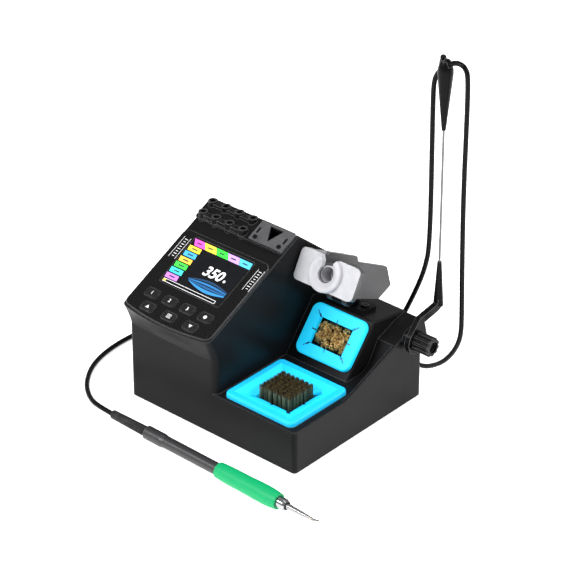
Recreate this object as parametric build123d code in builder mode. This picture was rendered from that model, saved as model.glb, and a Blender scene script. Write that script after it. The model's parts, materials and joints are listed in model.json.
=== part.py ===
from build123d import *
import os
from math import atan, cos, pi, radians, sin, tan

os.makedirs("parts", exist_ok=True)

# Case: width runs along X, depth along Y, front towards -Y
station_width = 146.0
station_depth = 128.8
station_left = -100.0
station_front = -50.4
foot_gap = 1.2
wall = 2.5
corner_round = 3.0
controller_width = 77.8
front_edge_round = 5.0
overcut = 1.0

right_x = station_left + station_width
split_x = station_left + controller_width
rear_y = station_front + station_depth
mid_y = (station_front + rear_y) / 2
panel_mid_x = station_left + controller_width / 2

# Leaning front panel and roof of the controller
nose_start = 55.0
nose_rise = 27.0
nose_steps = 5
nose_power = 1.4
nose_sink = 0.6
lip_overhang = 6.1
lip_height = 75.0
lip_bow = 4.5
least_bow = 0.05
nose_root = 6.0
panel_slope = 25.8
panel_length = 97.7
roof_slope = 39.4
case_edge = 0.8

panel_rise = sin(radians(panel_slope))
panel_run = cos(radians(panel_slope))
lip_y = station_front - lip_overhang
ridge_y = lip_y + panel_length * panel_run
ridge_z = lip_height + panel_length * panel_rise
rear_wall_z = ridge_z - (rear_y - ridge_y) * tan(radians(roof_slope))
panel_plane = Plane(
    origin=(panel_mid_x, lip_y, lip_height), x_dir=(1, 0, 0), z_dir=(0, -panel_rise, panel_run)
)
roof_plane = Plane(
    origin=(panel_mid_x, ridge_y, ridge_z),
    x_dir=(1, 0, 0),
    z_dir=(0, sin(radians(roof_slope)), cos(radians(roof_slope))),
)

# Deck, side rim, hump and trough on the right
deck_z = 32.5
deck_overlap = 8.0
ramp_start = 52.0
ramp_rear = 11.3
ramp_end_z = 58.3
rear_top_z = 60.5
ramp_round = 24.0
hump_width = 53.2
hump_setback = 68.4
hump_slope = 50.8
hump_face = 43.6
rim_width = 2.5
hump_edge = 1.6
rim_edge = 1.0
edge_match = 0.05
trough_rear = 18.4
trough_scoop = 22.0
trough_round = 16.0
least_round = 0.05
deck_hollow_z = 17.5

ramp_start_y = station_front + ramp_start
ramp_end_y = rear_y - ramp_rear
trough_end_y = rear_y - trough_rear
hump_foot_y = station_front + hump_setback
hump_rise = sin(radians(hump_slope))
hump_run = cos(radians(hump_slope))
hump_top_y = hump_foot_y + hump_face * hump_run
hump_top_z = deck_z + hump_face * hump_rise
hump_right_x = split_x + hump_width
hump_mid_x = (split_x + hump_right_x) / 2
shelf_fall = (hump_top_z - rear_top_z) / (rear_y - hump_top_y)

# Brush pad and its pocket in the deck
brush_pad_width = 58.4
brush_pad_depth = 56.4
brush_pad_height = 15.0
brush_pad_top = 36.0
brush_pad_round = 4.0
pad_fit = 0.3
brush_pad_setback = 31.4
brush_pad_offset = 33.2
pad_rim = 4.5
brush_hole_width = 30.0
brush_hole_depth = 27.0
funnel_drop = 8.0
brush_pad_edge = 1.4
brush_slit = 1.2
brush_slit_span = 48.0
brush_slit_reach = 36.0
brush_pad_x = split_x + brush_pad_offset
brush_pad_y = station_front + brush_pad_setback
brush_pad_base = brush_pad_top - brush_pad_height

# Brush: tufts of square strands on a backing slice
tufts_across = 7
tufts_deep = 7
strands_a_side = 3
tuft_pitch_x = 4.0
tuft_pitch_y = 3.55
strand_pitch = 0.95
strand_side = 0.65
strand_height = 16.5
backing_width = 34.0
backing_depth = 31.0
backing_thickness = 3.0
backing_fit = 0.2

# Wool pad and its pocket in the hump
wool_pad_width = 46.3
wool_pad_height = 36.5
wool_pad_thickness = 3.2
wool_pad_round = 6.0
wool_pad_centre = 23.4
wool_pad_offset = 2.4
wool_plug_width = 40.0
wool_plug_height = 30.0
wool_plug_depth = 6.0
wool_plug_wall = 2.0
wool_pocket_depth = 24.0
wool_window_width = 23.6
wool_window_height = 15.8
wool_slit = 1.0
wool_corner_slit = 5.0
wool_side_slit = 3.0
wool_depth = 17.0
wool_gap = 0.3
wool_pad_edge = 1.2
wool_window_round = 1.0
hump_plane = Plane(
    origin=(hump_mid_x + wool_pad_offset, hump_foot_y, deck_z),
    x_dir=(1, 0, 0),
    z_dir=(0, -hump_rise, hump_run),
)

# Tip tray on the ridge: where it lies on the panel
tray_ridge_gap = 0.4
tray_length = 18.4
tray_top = panel_length - tray_ridge_gap
tray_foot = tray_top - tray_length

# Fascia, display and keys on the panel
fascia_thickness = 1.4
fascia_margin = 0.8
fascia_tray_gap = 9.7
fascia_round = 5.0
display_width = 53.0
display_foot = 25.6
display_margin = 3.2
display_round = 1.5
lens_fit = 0.15
lcd_border = 2.4
lcd_thickness = 4.0
lcd_fit = 0.5
key_width = 10.4
key_height = 6.4
key_round = 1.6
key_fit = 0.25
key_proud = 0.7
key_flange = 0.9
key_flange_thickness = 0.8
key_gap = 0.15
key_travel = 0.5
key_dome_width = 4.0
key_rows = {
    "key_one": (-23.6, 15.2),
    "key_two": (-7.8, 15.2),
    "key_three": (8.0, 15.2),
    "key_set": (23.8, 15.2),
    "key_up": (-19.0, 4.9),
    "key_menu": (0.0, 4.9),
    "key_down": (19.0, 4.9),
}
key_bay_width = 64.0
key_bay_foot = 0.4
key_bay_top = 21.0
key_board_under = 2.0
key_board_fit = 0.2
board_thickness = 1.6
fascia_top = tray_foot - fascia_tray_gap
display_height = fascia_top - display_margin - display_foot
display_centre = display_foot + display_height / 2
lcd_width = display_width + 2 * lcd_border
lcd_height = display_height + 2 * lcd_border

# Sockets of the tip tray and its steel puller plate
tray_plate = 2.0
tray_inset = 0.3
tray_well = 16.0
tray_well_margin = 2.0
tray_fit = 0.25
socket_columns = 4
socket_first = 5.2
socket_last_gap = 7.4
socket_bore = 4.4
socket_boss = 6.6
socket_depth = 17.0
socket_root = 10.0
socket_ridge_width = 4.6
socket_ridge_drop = 1.6
socket_rows = {"back": (4.6, 2.4), "front": (14.4, -1.6)}
tray_round = 2.5
puller_width = 28.6
puller_height = 17.2
puller_thickness = 1.5
puller_margin = 0.6
puller_round = 0.8
puller_triangle = 11.6
puller_slot_width = 1.6
puller_slot_length = 5.0
puller_slot_offset = 11.6
puller_triangle_lift = 0.4
puller_shaft_width = 18.0
puller_shaft_height = 12.4
puller_screw_offset_x = 10.4
puller_screw_offset_y = 5.6
puller_screw_radius = 0.9
puller_screw_head = 1.6
puller_screw_head_height = 0.6
puller_screw_length = 6.0
puller_left = controller_width - puller_margin - puller_width
socket_pitch = (puller_left - socket_first - socket_last_gap) / (socket_columns - 1)
puller_x = controller_width / 2 - puller_margin - puller_width / 2
puller_centre = (tray_foot + tray_top) / 2
puller_triangle_top = puller_centre + puller_triangle_lift + puller_triangle / 2
puller_screw_places = (
    (-puller_screw_offset_x, -puller_screw_offset_y),
    (puller_screw_offset_x, -puller_screw_offset_y),
)

# Iron holder on its bracket
holder_mid_offset = 26.2
holder_setback = 78.8
holder_z = 100.2
holder_tilt_angle = 28.5
holder_width = 49.4
holder_height = 22.6
holder_corner = 3.5
holder_plate_thickness = 1.5
holder_flange = 4.5
funnel_radius = 12.7
funnel_proud = 3.0
funnel_mouth = 9.4
funnel_throat = 0.8
funnel_edge = 1.0
holder_bore = 6.2
holder_slot_low = 8.4
holder_slot_mid = 9.2
holder_slot_mid_height = 8.0
holder_slot_top = 16.6
body_width = 38.0
body_top = 15.2
body_floor = 10.0
body_floor_rear = 7.4
body_floor_end = 39.5
body_end_height = 3.0
body_end = 48.2
body_top_end = 36.6
body_edge = 2.5
body_slot_top = 14.4
holder_channel = 5.2
lug_bite = 2.4
pin_head_radius = 2.6
pin_head_height = 1.4
bracket_round = 2.0
pin_radius = 1.5
pin_fit = 0.15
lug_thickness = 4.0
lug_radius = 3.6
tongue_thickness = 8.0
lug_gap = 0.3
pin_along = 24.0
pin_drop = 14.5
tongue_half = 3.2
bracket_width = 28.0
bracket_depth = 16.0
bracket_setback = 107.0
bracket_thickness = 2.4
bracket_screw_offset = 9.8
screw_radius = 1.5
screw_fit = 0.1
screw_head_radius = 2.8
screw_head_height = 1.4
bracket_screw_length = 8.0

# Cable arm on the right wall
arm_pivot_rear = 14.4
arm_pivot_z = 52.5
arm_boss_radius = 7.5
arm_boss_thickness = 3.4
arm_spigot_radius = 3.6
arm_spigot_length = 5.0
arm_gap = 0.3
arm_thickness = 4.0
arm_lug_radius = 9.4
arm_limb = 5.4
arm_lean = 3.4
arm_elbow_z = 66.2
arm_crank_z = 69.4
arm_bend = 4.0
arm_reach_back = 23.0
arm_foot_rise = 33.0
arm_cone_low = 3.5
arm_cone_high = 1.5
rod_radius = 0.75
rod_fit = 0.05
rod_length = 97.2
rod_seat = 4.0
clip_length = 39.4
clip_low = 1.4
clip_high = 5.2
clip_shoulder = 4.9
clip_crown = 3.0
clip_shoulder_rise = 5.0
clip_crown_rise = 10.0
clip_slot = 4.0
clip_slot_slope = 44.0
clip_seat = 2.6
finger_foot = (-3.4, 3.0, -1.5)
finger_bend = (-6.8, 3.7, 4.0)
finger_tip = (-5.0, 3.7, 9.0)
finger_radius = 1.2
finger_ball = 2.1
knob_radius = 6.8
knob_length = 12.8
knob_flutes = 10
knob_flute_radius = 1.6
knob_flute_out = 0.7
knob_edge = 0.7
knob_hollow = 4.2
knob_hollow_depth = 2.2
clamp_radius = 2.5
clamp_fit = 0.15
clamp_length = 19.0
knob_seat = 8.0
arm_pivot_y = rear_y - arm_pivot_rear
arm_x = right_x + arm_boss_thickness + arm_gap + arm_thickness / 2
arm_rod_y = arm_pivot_y + arm_reach_back
arm_cone_top_z = arm_crank_z + arm_foot_rise

# Base plate, feet and screws
plate_thickness = 2.4
plate_fit = 0.2
foot_radius = 6.0
foot_recess = 1.2
foot_inset = 15.0
post_radius = 4.5
post_inset = 3.4
post_height = 14.0
base_screw_length = 9.0
plate_top = foot_gap + plate_thickness

# Boards inside the controller
board_post = 6.0
board_post_radius = 2.5
control_width = 58.0
control_depth = 44.0
control_front_gap = 12.0
supply_width = 60.0
board_gap = 8.0
supply_inlet_gap = 2.0
capacitor_radius = 5.0
capacitor_height = 16.0
transformer_height = 24.0

# Rear fittings
inlet_offset = 21.0
inlet_width = 27.4
inlet_height = 20.0
inlet_depth = 17.0
inlet_flange = 2.2
inlet_lip = 2.0
rear_fit = 0.2
rear_row_z = 28.0
switch_offset = 46.4
switch_width = 13.0
switch_height = 19.0
switch_depth = 14.0
switch_lip = 1.4
switch_wall = 1.3
rocker_gap = 0.35
rocker_swing = 9.0
rocker_pivot = 2.5
rocker_pin = 0.8
rocker_half = 7.0
rocker_proud = 4.6
rocker_valley = 3.2
rocker_root = 5.0
blade_pitch = 7.0
blade_lift = 3.6
blade_width = 2.0
blade_height = 4.2
blade_length = 9.0
socket_offset = 64.0
socket_radius = 7.6
socket_flange_radius = 9.4
socket_flange_thickness = 2.0
socket_inside = 10.0
plug_radius = 7.0
plug_length = 14.0
boot_length = 9.6
boot_radius = 3.6
plug_ribs = 18
plug_flute = 0.5
plug_chamfer = 1.0
boot_wall = 0.5
vent_count = 8
vent_pitch = 5.0
vent_width = 2.2
vent_height = 15.0
vent_z = 58.0

# Iron: places along its axis, measured from where the cable enters the tail boot
handle_tail_offset = 11.2
handle_tail_gap = 29.8
handle_tail_lift = 4.3
handle_yaw = -2.0
handle_pitch = 0.9
tail_length = 33.0
tail_low = 2.4
tail_high = 3.6
tail_rings = 8
tail_first_ring = 5.0
tail_ring_pitch = 3.0
tail_ring_width = 1.2
tail_ring_depth = 0.6
bulge_length = 14.5
bulge_radius = 4.7
bulge_shoulder = 3.0
bulge_round = 0.5
tube_radius = 4.15
grip_start = 99.3
grip_length = 53.2
grip_radius = 6.25
grip_end_radius = 5.3
grip_tail_place = 0.12
grip_tail_step = 0.5
grip_waist_place = 0.45
grip_waist_step = 0.3
grip_swell_place = 0.8
collar_radius = 3.9
collar_length = 6.9
collar_taper = 1.6
cartridge_radius = 1.95
cartridge_fit = 0.15
cartridge_seat = 110.0
tip_shaft = 13.0
tip_taper = 10.0
tip_neck_radius = 1.5
tip_end_radius = 0.8
tip_point_length = 5.5
tip_point_radius = 0.3
tip_bend_angle = -18.0
handle_start = Vector(station_left + handle_tail_offset, station_front - handle_tail_gap, handle_tail_lift)
handle_direction = Vector(
    cos(radians(handle_pitch)) * cos(radians(handle_yaw)),
    cos(radians(handle_pitch)) * sin(radians(handle_yaw)),
    sin(radians(handle_pitch)),
)
handle_axis = Axis(handle_start, handle_direction)
handle_plane = Plane(
    origin=handle_start,
    x_dir=handle_direction,
    z_dir=(sin(radians(handle_yaw)), -cos(radians(handle_yaw)), 0),
)

cable_radius = 1.7

# Cable route, chosen by hand: each stretch is measured from the piece that it follows
cable_ease = 0.45
cable_from_boot = (
    (0.0, 0.0, 0.0),
    (0.0, 9.0, -0.4),
    (3.5, 18.5, -5.5),
    (12.0, 24.0, -14.5),
    (25.0, 20.5, -23.5),
    (41.0, 9.5, -26.2),
    (54.0, 1.0, -25.6),
)
cable_up_the_arm = (
    (-21.9, 13.0, 5.8),
    (-12.4, 11.0, 11.1),
    (-2.4, 9.0, 18.9),
    (5.6, 7.5, 28.2),
    (12.1, 6.0, 38.8),
    (15.8, 5.0, 49.0),
    (16.9, 4.2, 61.0),
    (17.0, 2.2, 106.0),
    (17.4, 0.4, 160.0),
)
cable_over_the_clip = (
    (18.3, 0.0, -20.0),
    (18.1, 0.0, 2.0),
    (16.7, 0.0, 8.4),
    (12.3, 0.0, 11.2),
    (6.8, 0.0, 10.4),
    (-0.2, 0.0, 6.0),
    (-6.6, 0.0, -0.9),
    (-9.3, 0.0, -8.5),
    (-9.3, 0.0, -30.0),
)
cable_down_behind = (
    (-8.3, 0.0, 112.0),
    (-12.4, 0.3, 92.0),
    (-18.9, 0.6, 74.3),
    (-28.5, 1.2, 53.0),
    (-37.0, 2.8, 36.0),
    (-47.0, 4.8, 20.5),
    (-61.0, 8.0, 8.5),
    (-79.0, 12.5, 3.0),
)
cable_round_the_case = (
    (50.0, 26.6, 1.8),
    (20.0, 30.6, 1.8),
    (-9.0, 26.6, 1.8),
    (-33.0, 12.6, 1.8),
    (-47.0, -10.4, 1.8),
    (-52.0, -38.4, 1.8),
    (-50.5, -66.4, 1.8),
    (-51.5, -94.4, 1.8),
    (-46.0, -119.4, 1.8),
)
cable_to_the_tail = (
    (-44.2, 18.9, -2.5),
    (-28.7, 6.4, -2.0),
    (-14.2, 0.5, -0.22),
    (-0.06, 0.002, -0.001),
)

# Places that several pieces share
station_mid_x = (station_left + right_x) / 2
post_spread_x = station_width - 2 * (wall + post_inset)
post_spread_y = station_depth - 2 * (wall + post_inset)
foot_spread_x = station_width - 2 * foot_inset
foot_spread_y = station_depth - 2 * foot_inset
foot_chamfer = 0.6
control_front_y = station_front + control_front_gap
supply_front_y = control_front_y + control_depth + board_gap
supply_rear_y = rear_y - (inlet_depth - inlet_flange) - supply_inlet_gap
supply_depth = supply_rear_y - supply_front_y
board_places = (
    ((panel_mid_x, control_front_y + control_depth / 2), control_width, control_depth),
    ((panel_mid_x, supply_front_y + supply_depth / 2), supply_width, supply_depth),
)
fascia_half = controller_width / 2 - fascia_margin
fascia_foot = 1.2
fascia_bow = 3.8
fascia_chamfer = 0.4
key_edge = 0.3
rear_plane = Plane(origin=(0, rear_y, 0), x_dir=(1, 0, 0), z_dir=(0, -1, 0))
plug_plane = Plane(
    origin=(station_left + socket_offset, rear_y + socket_flange_thickness, rear_row_z),
    x_dir=(1, 0, 0),
    z_dir=(0, 1, 0),
)
knob_x = arm_x + arm_thickness / 2 + arm_gap
boot_end = plug_plane.from_local_coords((0, 0, plug_length + boot_length))
arm_foot = Vector(arm_x, arm_rod_y, 0)
case_corner = Vector(station_left, rear_y, 0)
clip_z = arm_cone_top_z + rod_length
clip_top = Vector(arm_x, arm_rod_y, clip_z + clip_length)
shelf_angle = atan(shelf_fall)
holder_mid_x = split_x + holder_mid_offset
bracket_y = station_front + bracket_setback
shelf_plane = Plane(
    origin=(holder_mid_x, bracket_y, hump_top_z - (bracket_y - hump_top_y) * shelf_fall),
    x_dir=(1, 0, 0),
    z_dir=(0, sin(shelf_angle), cos(shelf_angle)),
)
holder_plane = Plane(
    origin=(holder_mid_x, station_front + holder_setback, holder_z),
    x_dir=(1, 0, 0),
    z_dir=(0, -cos(radians(holder_tilt_angle)), sin(radians(holder_tilt_angle))),
)
holder_back = holder_plane.offset(-holder_plate_thickness)
slot_reach = funnel_radius + overcut
plate_slot = (
    (-holder_slot_low / 2, 0),
    (holder_slot_low / 2, 0),
    (holder_slot_mid / 2, holder_slot_mid_height),
    (holder_slot_top / 2, slot_reach),
    (-holder_slot_top / 2, slot_reach),
    (-holder_slot_mid / 2, holder_slot_mid_height),
)
body_slot = (
    (-holder_slot_low / 2, 0),
    (holder_slot_low / 2, 0),
    (body_slot_top / 2, body_top + overcut),
    (-body_slot_top / 2, body_top + overcut),
)
body_front = holder_plate_thickness + holder_flange
pin_point = holder_plane.from_local_coords((0, -pin_drop, -pin_along))
pin_half = tongue_thickness / 2 + lug_gap + lug_thickness
body_side = [
    holder_plane.from_local_coords(point)
    for point in (
        (0, -body_floor, -body_front),
        (0, body_top, -body_front),
        (0, body_top, -body_top_end),
        (0, body_end_height, -body_end),
        (0, -body_floor_rear, -body_floor_end),
    )
]
lug_web = [
    holder_plane.from_local_coords(point)
    for point in (
        (0, -pin_drop, -pin_along - lug_radius),
        (0, -pin_drop, -pin_along + lug_radius),
        (0, -body_floor_rear + lug_bite, -pin_along + lug_radius),
        (0, -body_floor_rear + lug_bite, -pin_along - lug_radius),
    )
]
tongue_foot = shelf_plane.from_local_coords((0, 0, bracket_thickness / 2))
tongue_way = (pin_point - Vector(holder_mid_x, tongue_foot.Y, tongue_foot.Z)).normalized()
tongue_side = Vector(0, tongue_way.Z, -tongue_way.Y) * tongue_half
tongue_limb = [
    tongue_foot + tongue_side,
    tongue_foot - tongue_side,
    pin_point - tongue_side,
    pin_point + tongue_side,
]
rocker_plane = Plane(
    origin=(station_left + switch_offset, rear_y - rocker_pivot, rear_row_z),
    x_dir=(0, cos(radians(rocker_swing)), sin(radians(rocker_swing))),
    z_dir=(1, 0, 0),
)
grip_end = grip_start + grip_length
tip_start = grip_end + collar_length
handle_cross = Plane(origin=handle_start, z_dir=handle_direction)
tip_bend = handle_direction.rotate(Axis((0, 0, 0), (0, 1, 0)), tip_bend_angle)
tip_bend_place = tip_start + tip_shaft + tip_taper
tip_point_plane = Plane(
    origin=handle_start + handle_direction * tip_bend_place + tip_bend * tip_point_length,
    z_dir=tip_bend,
)
grip_profile = [
    (grip_start, grip_end_radius),
    (grip_start + grip_tail_place * grip_length, grip_radius - grip_tail_step),
    (grip_start + grip_waist_place * grip_length, grip_radius - grip_waist_step),
    (grip_start + grip_swell_place * grip_length, grip_radius),
    (grip_end, grip_end_radius),
]


def nose_reach(height):
    """How far the controller's front leans out at a height, from 0 at its start to 1 at the lip."""
    return max((height - nose_start) / (lip_height - nose_start), 0.0) ** nose_power


# Upper housing
with BuildPart() as upper_housing:
    # Deck block, reaching a little under the controller
    with BuildSketch(Plane.XY.offset(foot_gap)) as deck_plan:
        with Locations(((split_x - deck_overlap + right_x) / 2, mid_y)):
            Rectangle(right_x - split_x + deck_overlap, station_depth)
        fillet(deck_plan.vertices().group_by(Axis.X)[-1], corner_round)
    extrude(amount=hump_top_z - foot_gap)
    # Side rim: level beside the brush, then a ramp to the rear
    with BuildSketch(Plane.YZ.offset(split_x - deck_overlap - overcut)):
        with BuildLine():
            FilletPolyline(
                (station_front - overcut, deck_z),
                (ramp_start_y, deck_z),
                (ramp_end_y, ramp_end_z),
                (rear_y + overcut, rear_top_z),
                radius=ramp_round,
            )
            Polyline(
                (rear_y + overcut, rear_top_z),
                (rear_y + overcut, hump_top_z + overcut),
                (station_front - overcut, hump_top_z + overcut),
                (station_front - overcut, deck_z),
            )
        make_face()
    extrude(amount=station_width, mode=Mode.SUBTRACT)
    # Level deck inside the rim, running back beside the hump and scooped up to the rear
    with BuildSketch(Plane.YZ.offset(right_x - rim_width)):
        with BuildLine():
            FilletPolyline(
                (station_front - overcut, hump_top_z + overcut),
                (station_front - overcut, deck_z),
                (trough_end_y - trough_scoop, deck_z),
                (trough_end_y, hump_top_z + overcut),
                radius=(least_round, trough_round),
            )
            Line(
                (trough_end_y, hump_top_z + overcut),
                (station_front - overcut, hump_top_z + overcut),
            )
        make_face()
    extrude(amount=-station_width, mode=Mode.SUBTRACT)
    # Hump with the face that carries the wool pad, and the shelf behind it
    with BuildSketch(Plane.YZ.offset(split_x - deck_overlap)):
        with BuildLine():
            Polyline(
                (hump_foot_y, deck_z),
                (hump_top_y, hump_top_z),
                (rear_y, rear_top_z),
                (rear_y, deck_hollow_z),
                (hump_foot_y, deck_hollow_z),
                close=True,
            )
        make_face()
    extrude(amount=deck_overlap + hump_width)
    # Softened edges of the hump, then of the deck's front and the rim
    hump_side = upper_housing.edges().filter_by(
        lambda edge: abs(edge.center().X - hump_right_x) < edge_match
        and (abs(edge.length - hump_face) < edge_match or edge.center().Z > rear_top_z + overcut)
    )
    hump_ridge = upper_housing.edges().filter_by(
        lambda edge: abs(edge.center().Y - hump_top_y) < edge_match and edge.center().Z > rear_top_z
    )
    fillet(hump_side + hump_ridge, hump_edge)
    rim_edges = upper_housing.edges().filter_by(
        lambda edge: edge.center().Z > deck_z - overcut
        and (edge.center().X > right_x - rim_edge or edge.center().Y < station_front + edge_match)
    )
    fillet(rim_edges, rim_edge)
    # Controller block
    with BuildSketch(Plane.XY.offset(foot_gap)) as controller_plan:
        with Locations((panel_mid_x, mid_y)):
            Rectangle(controller_width, station_depth)
        fillet(controller_plan.vertices().group_by(Axis.X)[0], corner_round)
        fillet(controller_plan.vertices().group_by(Axis.X)[-1].sort_by(Axis.Y)[0], front_edge_round)
    extrude(amount=ridge_z + overcut - foot_gap)
    # Bowed nose under the lip of the panel
    for step in range(nose_steps):
        height = nose_start + nose_rise * step / (nose_steps - 1)
        nose_y = station_front + nose_sink - (lip_overhang + nose_sink) * nose_reach(height)
        bow = lip_bow * nose_reach(height) + least_bow
        with BuildSketch(Plane.XY.offset(height)) as nose_section:
            with BuildLine():
                ThreePointArc((station_left, nose_y), (panel_mid_x, nose_y - bow), (split_x, nose_y))
                Polyline(
                    (split_x, nose_y),
                    (split_x, station_front + nose_root),
                    (station_left, station_front + nose_root),
                    (station_left, nose_y),
                )
            make_face()
            front_corners = nose_section.vertices().group_by(Axis.Y)[0].sort_by(Axis.X)
            fillet(front_corners[0], corner_round)
            fillet(nose_section.vertices().sort_by(Axis.X)[-2:].sort_by(Axis.Y)[0], front_edge_round)
    loft()
    # Panel and roof
    with BuildSketch(Plane.YZ.offset(station_left - overcut)):
        with BuildLine():
            Polyline(
                (lip_y - nose_rise, lip_height - nose_rise * panel_rise / panel_run),
                (ridge_y, ridge_z),
                (rear_y + overcut, rear_wall_z - overcut * tan(radians(roof_slope))),
                (rear_y + overcut, ridge_z + 2 * overcut),
                (lip_y - nose_rise, ridge_z + 2 * overcut),
                close=True,
            )
        make_face()
    extrude(amount=controller_width + overcut, mode=Mode.SUBTRACT)
    # Softened edges round the panel and the roof
    panel_face = upper_housing.faces().filter_by(panel_plane).sort_by(SortBy.AREA)[-1]
    roof_face = upper_housing.faces().filter_by(roof_plane).sort_by(SortBy.AREA)[-1]
    fillet(panel_face.edges() + roof_face.edges(), case_edge)
    # Hollow of the controller, open below
    with BuildSketch(Plane.YZ.offset(station_left + wall)):
        with BuildLine():
            Polyline(
                (station_front, foot_gap - 2 * wall),
                (station_front, lip_height + lip_overhang * panel_rise / panel_run),
                (ridge_y, ridge_z),
                (rear_y, rear_wall_z),
                (rear_y, foot_gap - 2 * wall),
                close=True,
            )
        make_face()
        offset(amount=-wall, kind=Kind.INTERSECTION, mode=Mode.REPLACE)
    extrude(amount=controller_width - 2 * wall, mode=Mode.SUBTRACT)
    # Low hollow under the deck
    with BuildSketch(Plane.XY.offset(foot_gap - overcut)):
        with Locations(((split_x + right_x) / 2 - wall, mid_y)):
            Rectangle(right_x - split_x, station_depth - 2 * wall)
    extrude(amount=deck_hollow_z - foot_gap + overcut, mode=Mode.SUBTRACT)
    # Screw posts in the corners
    with BuildSketch(Plane.XY.offset(plate_top)):
        with Locations((station_mid_x, mid_y)):
            with GridLocations(post_spread_x, post_spread_y, 2, 2):
                Circle(post_radius)
    extrude(amount=post_height)
    with BuildSketch(Plane.XY.offset(plate_top)):
        with Locations((station_mid_x, mid_y)):
            with GridLocations(post_spread_x, post_spread_y, 2, 2):
                Circle(screw_radius + screw_fit)
    extrude(amount=base_screw_length, mode=Mode.SUBTRACT)
    # Pocket for the brush pad
    with BuildSketch(Plane.XY.offset(brush_pad_base - pad_fit)):
        with Locations((brush_pad_x, brush_pad_y)):
            RectangleRounded(
                brush_pad_width + 2 * pad_fit, brush_pad_depth + 2 * pad_fit, brush_pad_round + pad_fit
            )
    extrude(amount=hump_top_z, mode=Mode.SUBTRACT)
    # Pocket for the wool in the hump's face
    with BuildSketch(hump_plane):
        with Locations((0, wool_pad_centre)):
            Rectangle(wool_plug_width + 2 * wool_gap, wool_plug_height + 2 * wool_gap)
    extrude(amount=-wool_pocket_depth, mode=Mode.SUBTRACT)
    # Openings in the panel for the display, the keys and the tip tray
    with BuildSketch(panel_plane):
        with Locations((0, display_centre)):
            Rectangle(lcd_width + 2 * lcd_fit, lcd_height + 2 * lcd_fit)
        with Locations((0, (key_bay_foot + key_bay_top) / 2)):
            Rectangle(key_bay_width, key_bay_top - key_bay_foot)
    extrude(amount=wall + board_thickness, both=True, mode=Mode.SUBTRACT)
    with BuildSketch(panel_plane):
        with Locations((0, (tray_foot + tray_top) / 2)):
            Rectangle(controller_width - 2 * (wall + tray_inset), tray_top - tray_foot - 2 * tray_well_margin)
    extrude(amount=2 * wall, both=True, mode=Mode.SUBTRACT)
    # Openings in the rear wall for the inlet, the switch and the iron's socket, and a row of vents
    with BuildSketch(rear_plane):
        with Locations((station_left + inlet_offset, rear_row_z)):
            Rectangle(inlet_width + 2 * rear_fit, inlet_height + 2 * rear_fit)
        with Locations((station_left + switch_offset, rear_row_z)):
            Rectangle(switch_width + 2 * rear_fit, switch_height + 2 * rear_fit)
        with Locations((station_left + socket_offset, rear_row_z)):
            Circle(socket_radius + rear_fit)
        with Locations((panel_mid_x, vent_z)):
            with GridLocations(vent_pitch, 0, vent_count, 1):
                SlotOverall(vent_height, vent_width, rotation=90)
    extrude(amount=wall + overcut, both=True, mode=Mode.SUBTRACT)
    # Hole in the right wall for the spigot of the arm's boss
    with BuildSketch(Plane.YZ.offset(right_x)):
        with Locations((arm_pivot_y, arm_pivot_z)):
            Circle(arm_spigot_radius + screw_fit)
    extrude(amount=-arm_spigot_length - overcut, mode=Mode.SUBTRACT)
    # Holes in the shelf for the bracket's screws
    with BuildSketch(shelf_plane):
        with Locations((-bracket_screw_offset, 0), (bracket_screw_offset, 0)):
            Circle(screw_radius + screw_fit)
    extrude(amount=-bracket_screw_length, mode=Mode.SUBTRACT)
upper_housing.part.label = "upper_housing"
export_step(upper_housing.part, "parts/upper_housing.step")

# Base plate with its board posts, closing the case from below
with BuildPart() as base_plate:
    with BuildSketch(Plane.XY.offset(foot_gap)):
        with Locations((station_mid_x, mid_y)):
            Rectangle(station_width - 2 * (wall + plate_fit), station_depth - 2 * (wall + plate_fit))
    extrude(amount=plate_thickness)
    with BuildSketch(Plane.XY.offset(plate_top)):
        for board_mid, board_width, board_depth in board_places:
            with Locations(board_mid):
                with GridLocations(
                    board_width - 4 * board_post_radius,
                    board_depth - 4 * board_post_radius,
                    2,
                    2,
                ):
                    Circle(board_post_radius)
    extrude(amount=board_post)
    with Locations((station_mid_x, mid_y, foot_gap)):
        with GridLocations(post_spread_x, post_spread_y, 2, 2):
            Cylinder(
                screw_radius + screw_fit,
                plate_thickness,
                align=(Align.CENTER, Align.CENTER, Align.MIN),
                mode=Mode.SUBTRACT,
            )
            Cylinder(
                screw_head_radius + screw_fit,
                screw_head_height,
                align=(Align.CENTER, Align.CENTER, Align.MIN),
                mode=Mode.SUBTRACT,
            )
        with GridLocations(foot_spread_x, foot_spread_y, 2, 2):
            Cylinder(
                foot_radius + screw_fit,
                foot_recess,
                align=(Align.CENTER, Align.CENTER, Align.MIN),
                mode=Mode.SUBTRACT,
            )
base_plate.part.label = "base_plate"
export_step(base_plate.part, "parts/base_plate.step")

# Four rubber feet in the plate's recesses
with BuildPart() as rubber_feet:
    with BuildSketch(Plane.XY):
        with Locations((station_mid_x, mid_y)):
            with GridLocations(foot_spread_x, foot_spread_y, 2, 2):
                Circle(foot_radius)
    extrude(amount=foot_gap + foot_recess)
    chamfer(rubber_feet.edges().group_by(Axis.Z)[0], foot_chamfer)
rubber_feet.part.label = "rubber_feet"
export_step(rubber_feet.part, "parts/rubber_feet.step")

# Four screws up through the plate into the corner posts
with BuildPart() as base_screws:
    with Locations((station_mid_x, mid_y, foot_gap)):
        with GridLocations(post_spread_x, post_spread_y, 2, 2):
            Cylinder(screw_head_radius, screw_head_height, align=(Align.CENTER, Align.CENTER, Align.MIN))
            Cylinder(screw_radius, base_screw_length, align=(Align.CENTER, Align.CENTER, Align.MIN))
base_screws.part.label = "base_screws"
export_step(base_screws.part, "parts/base_screws.step")

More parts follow.
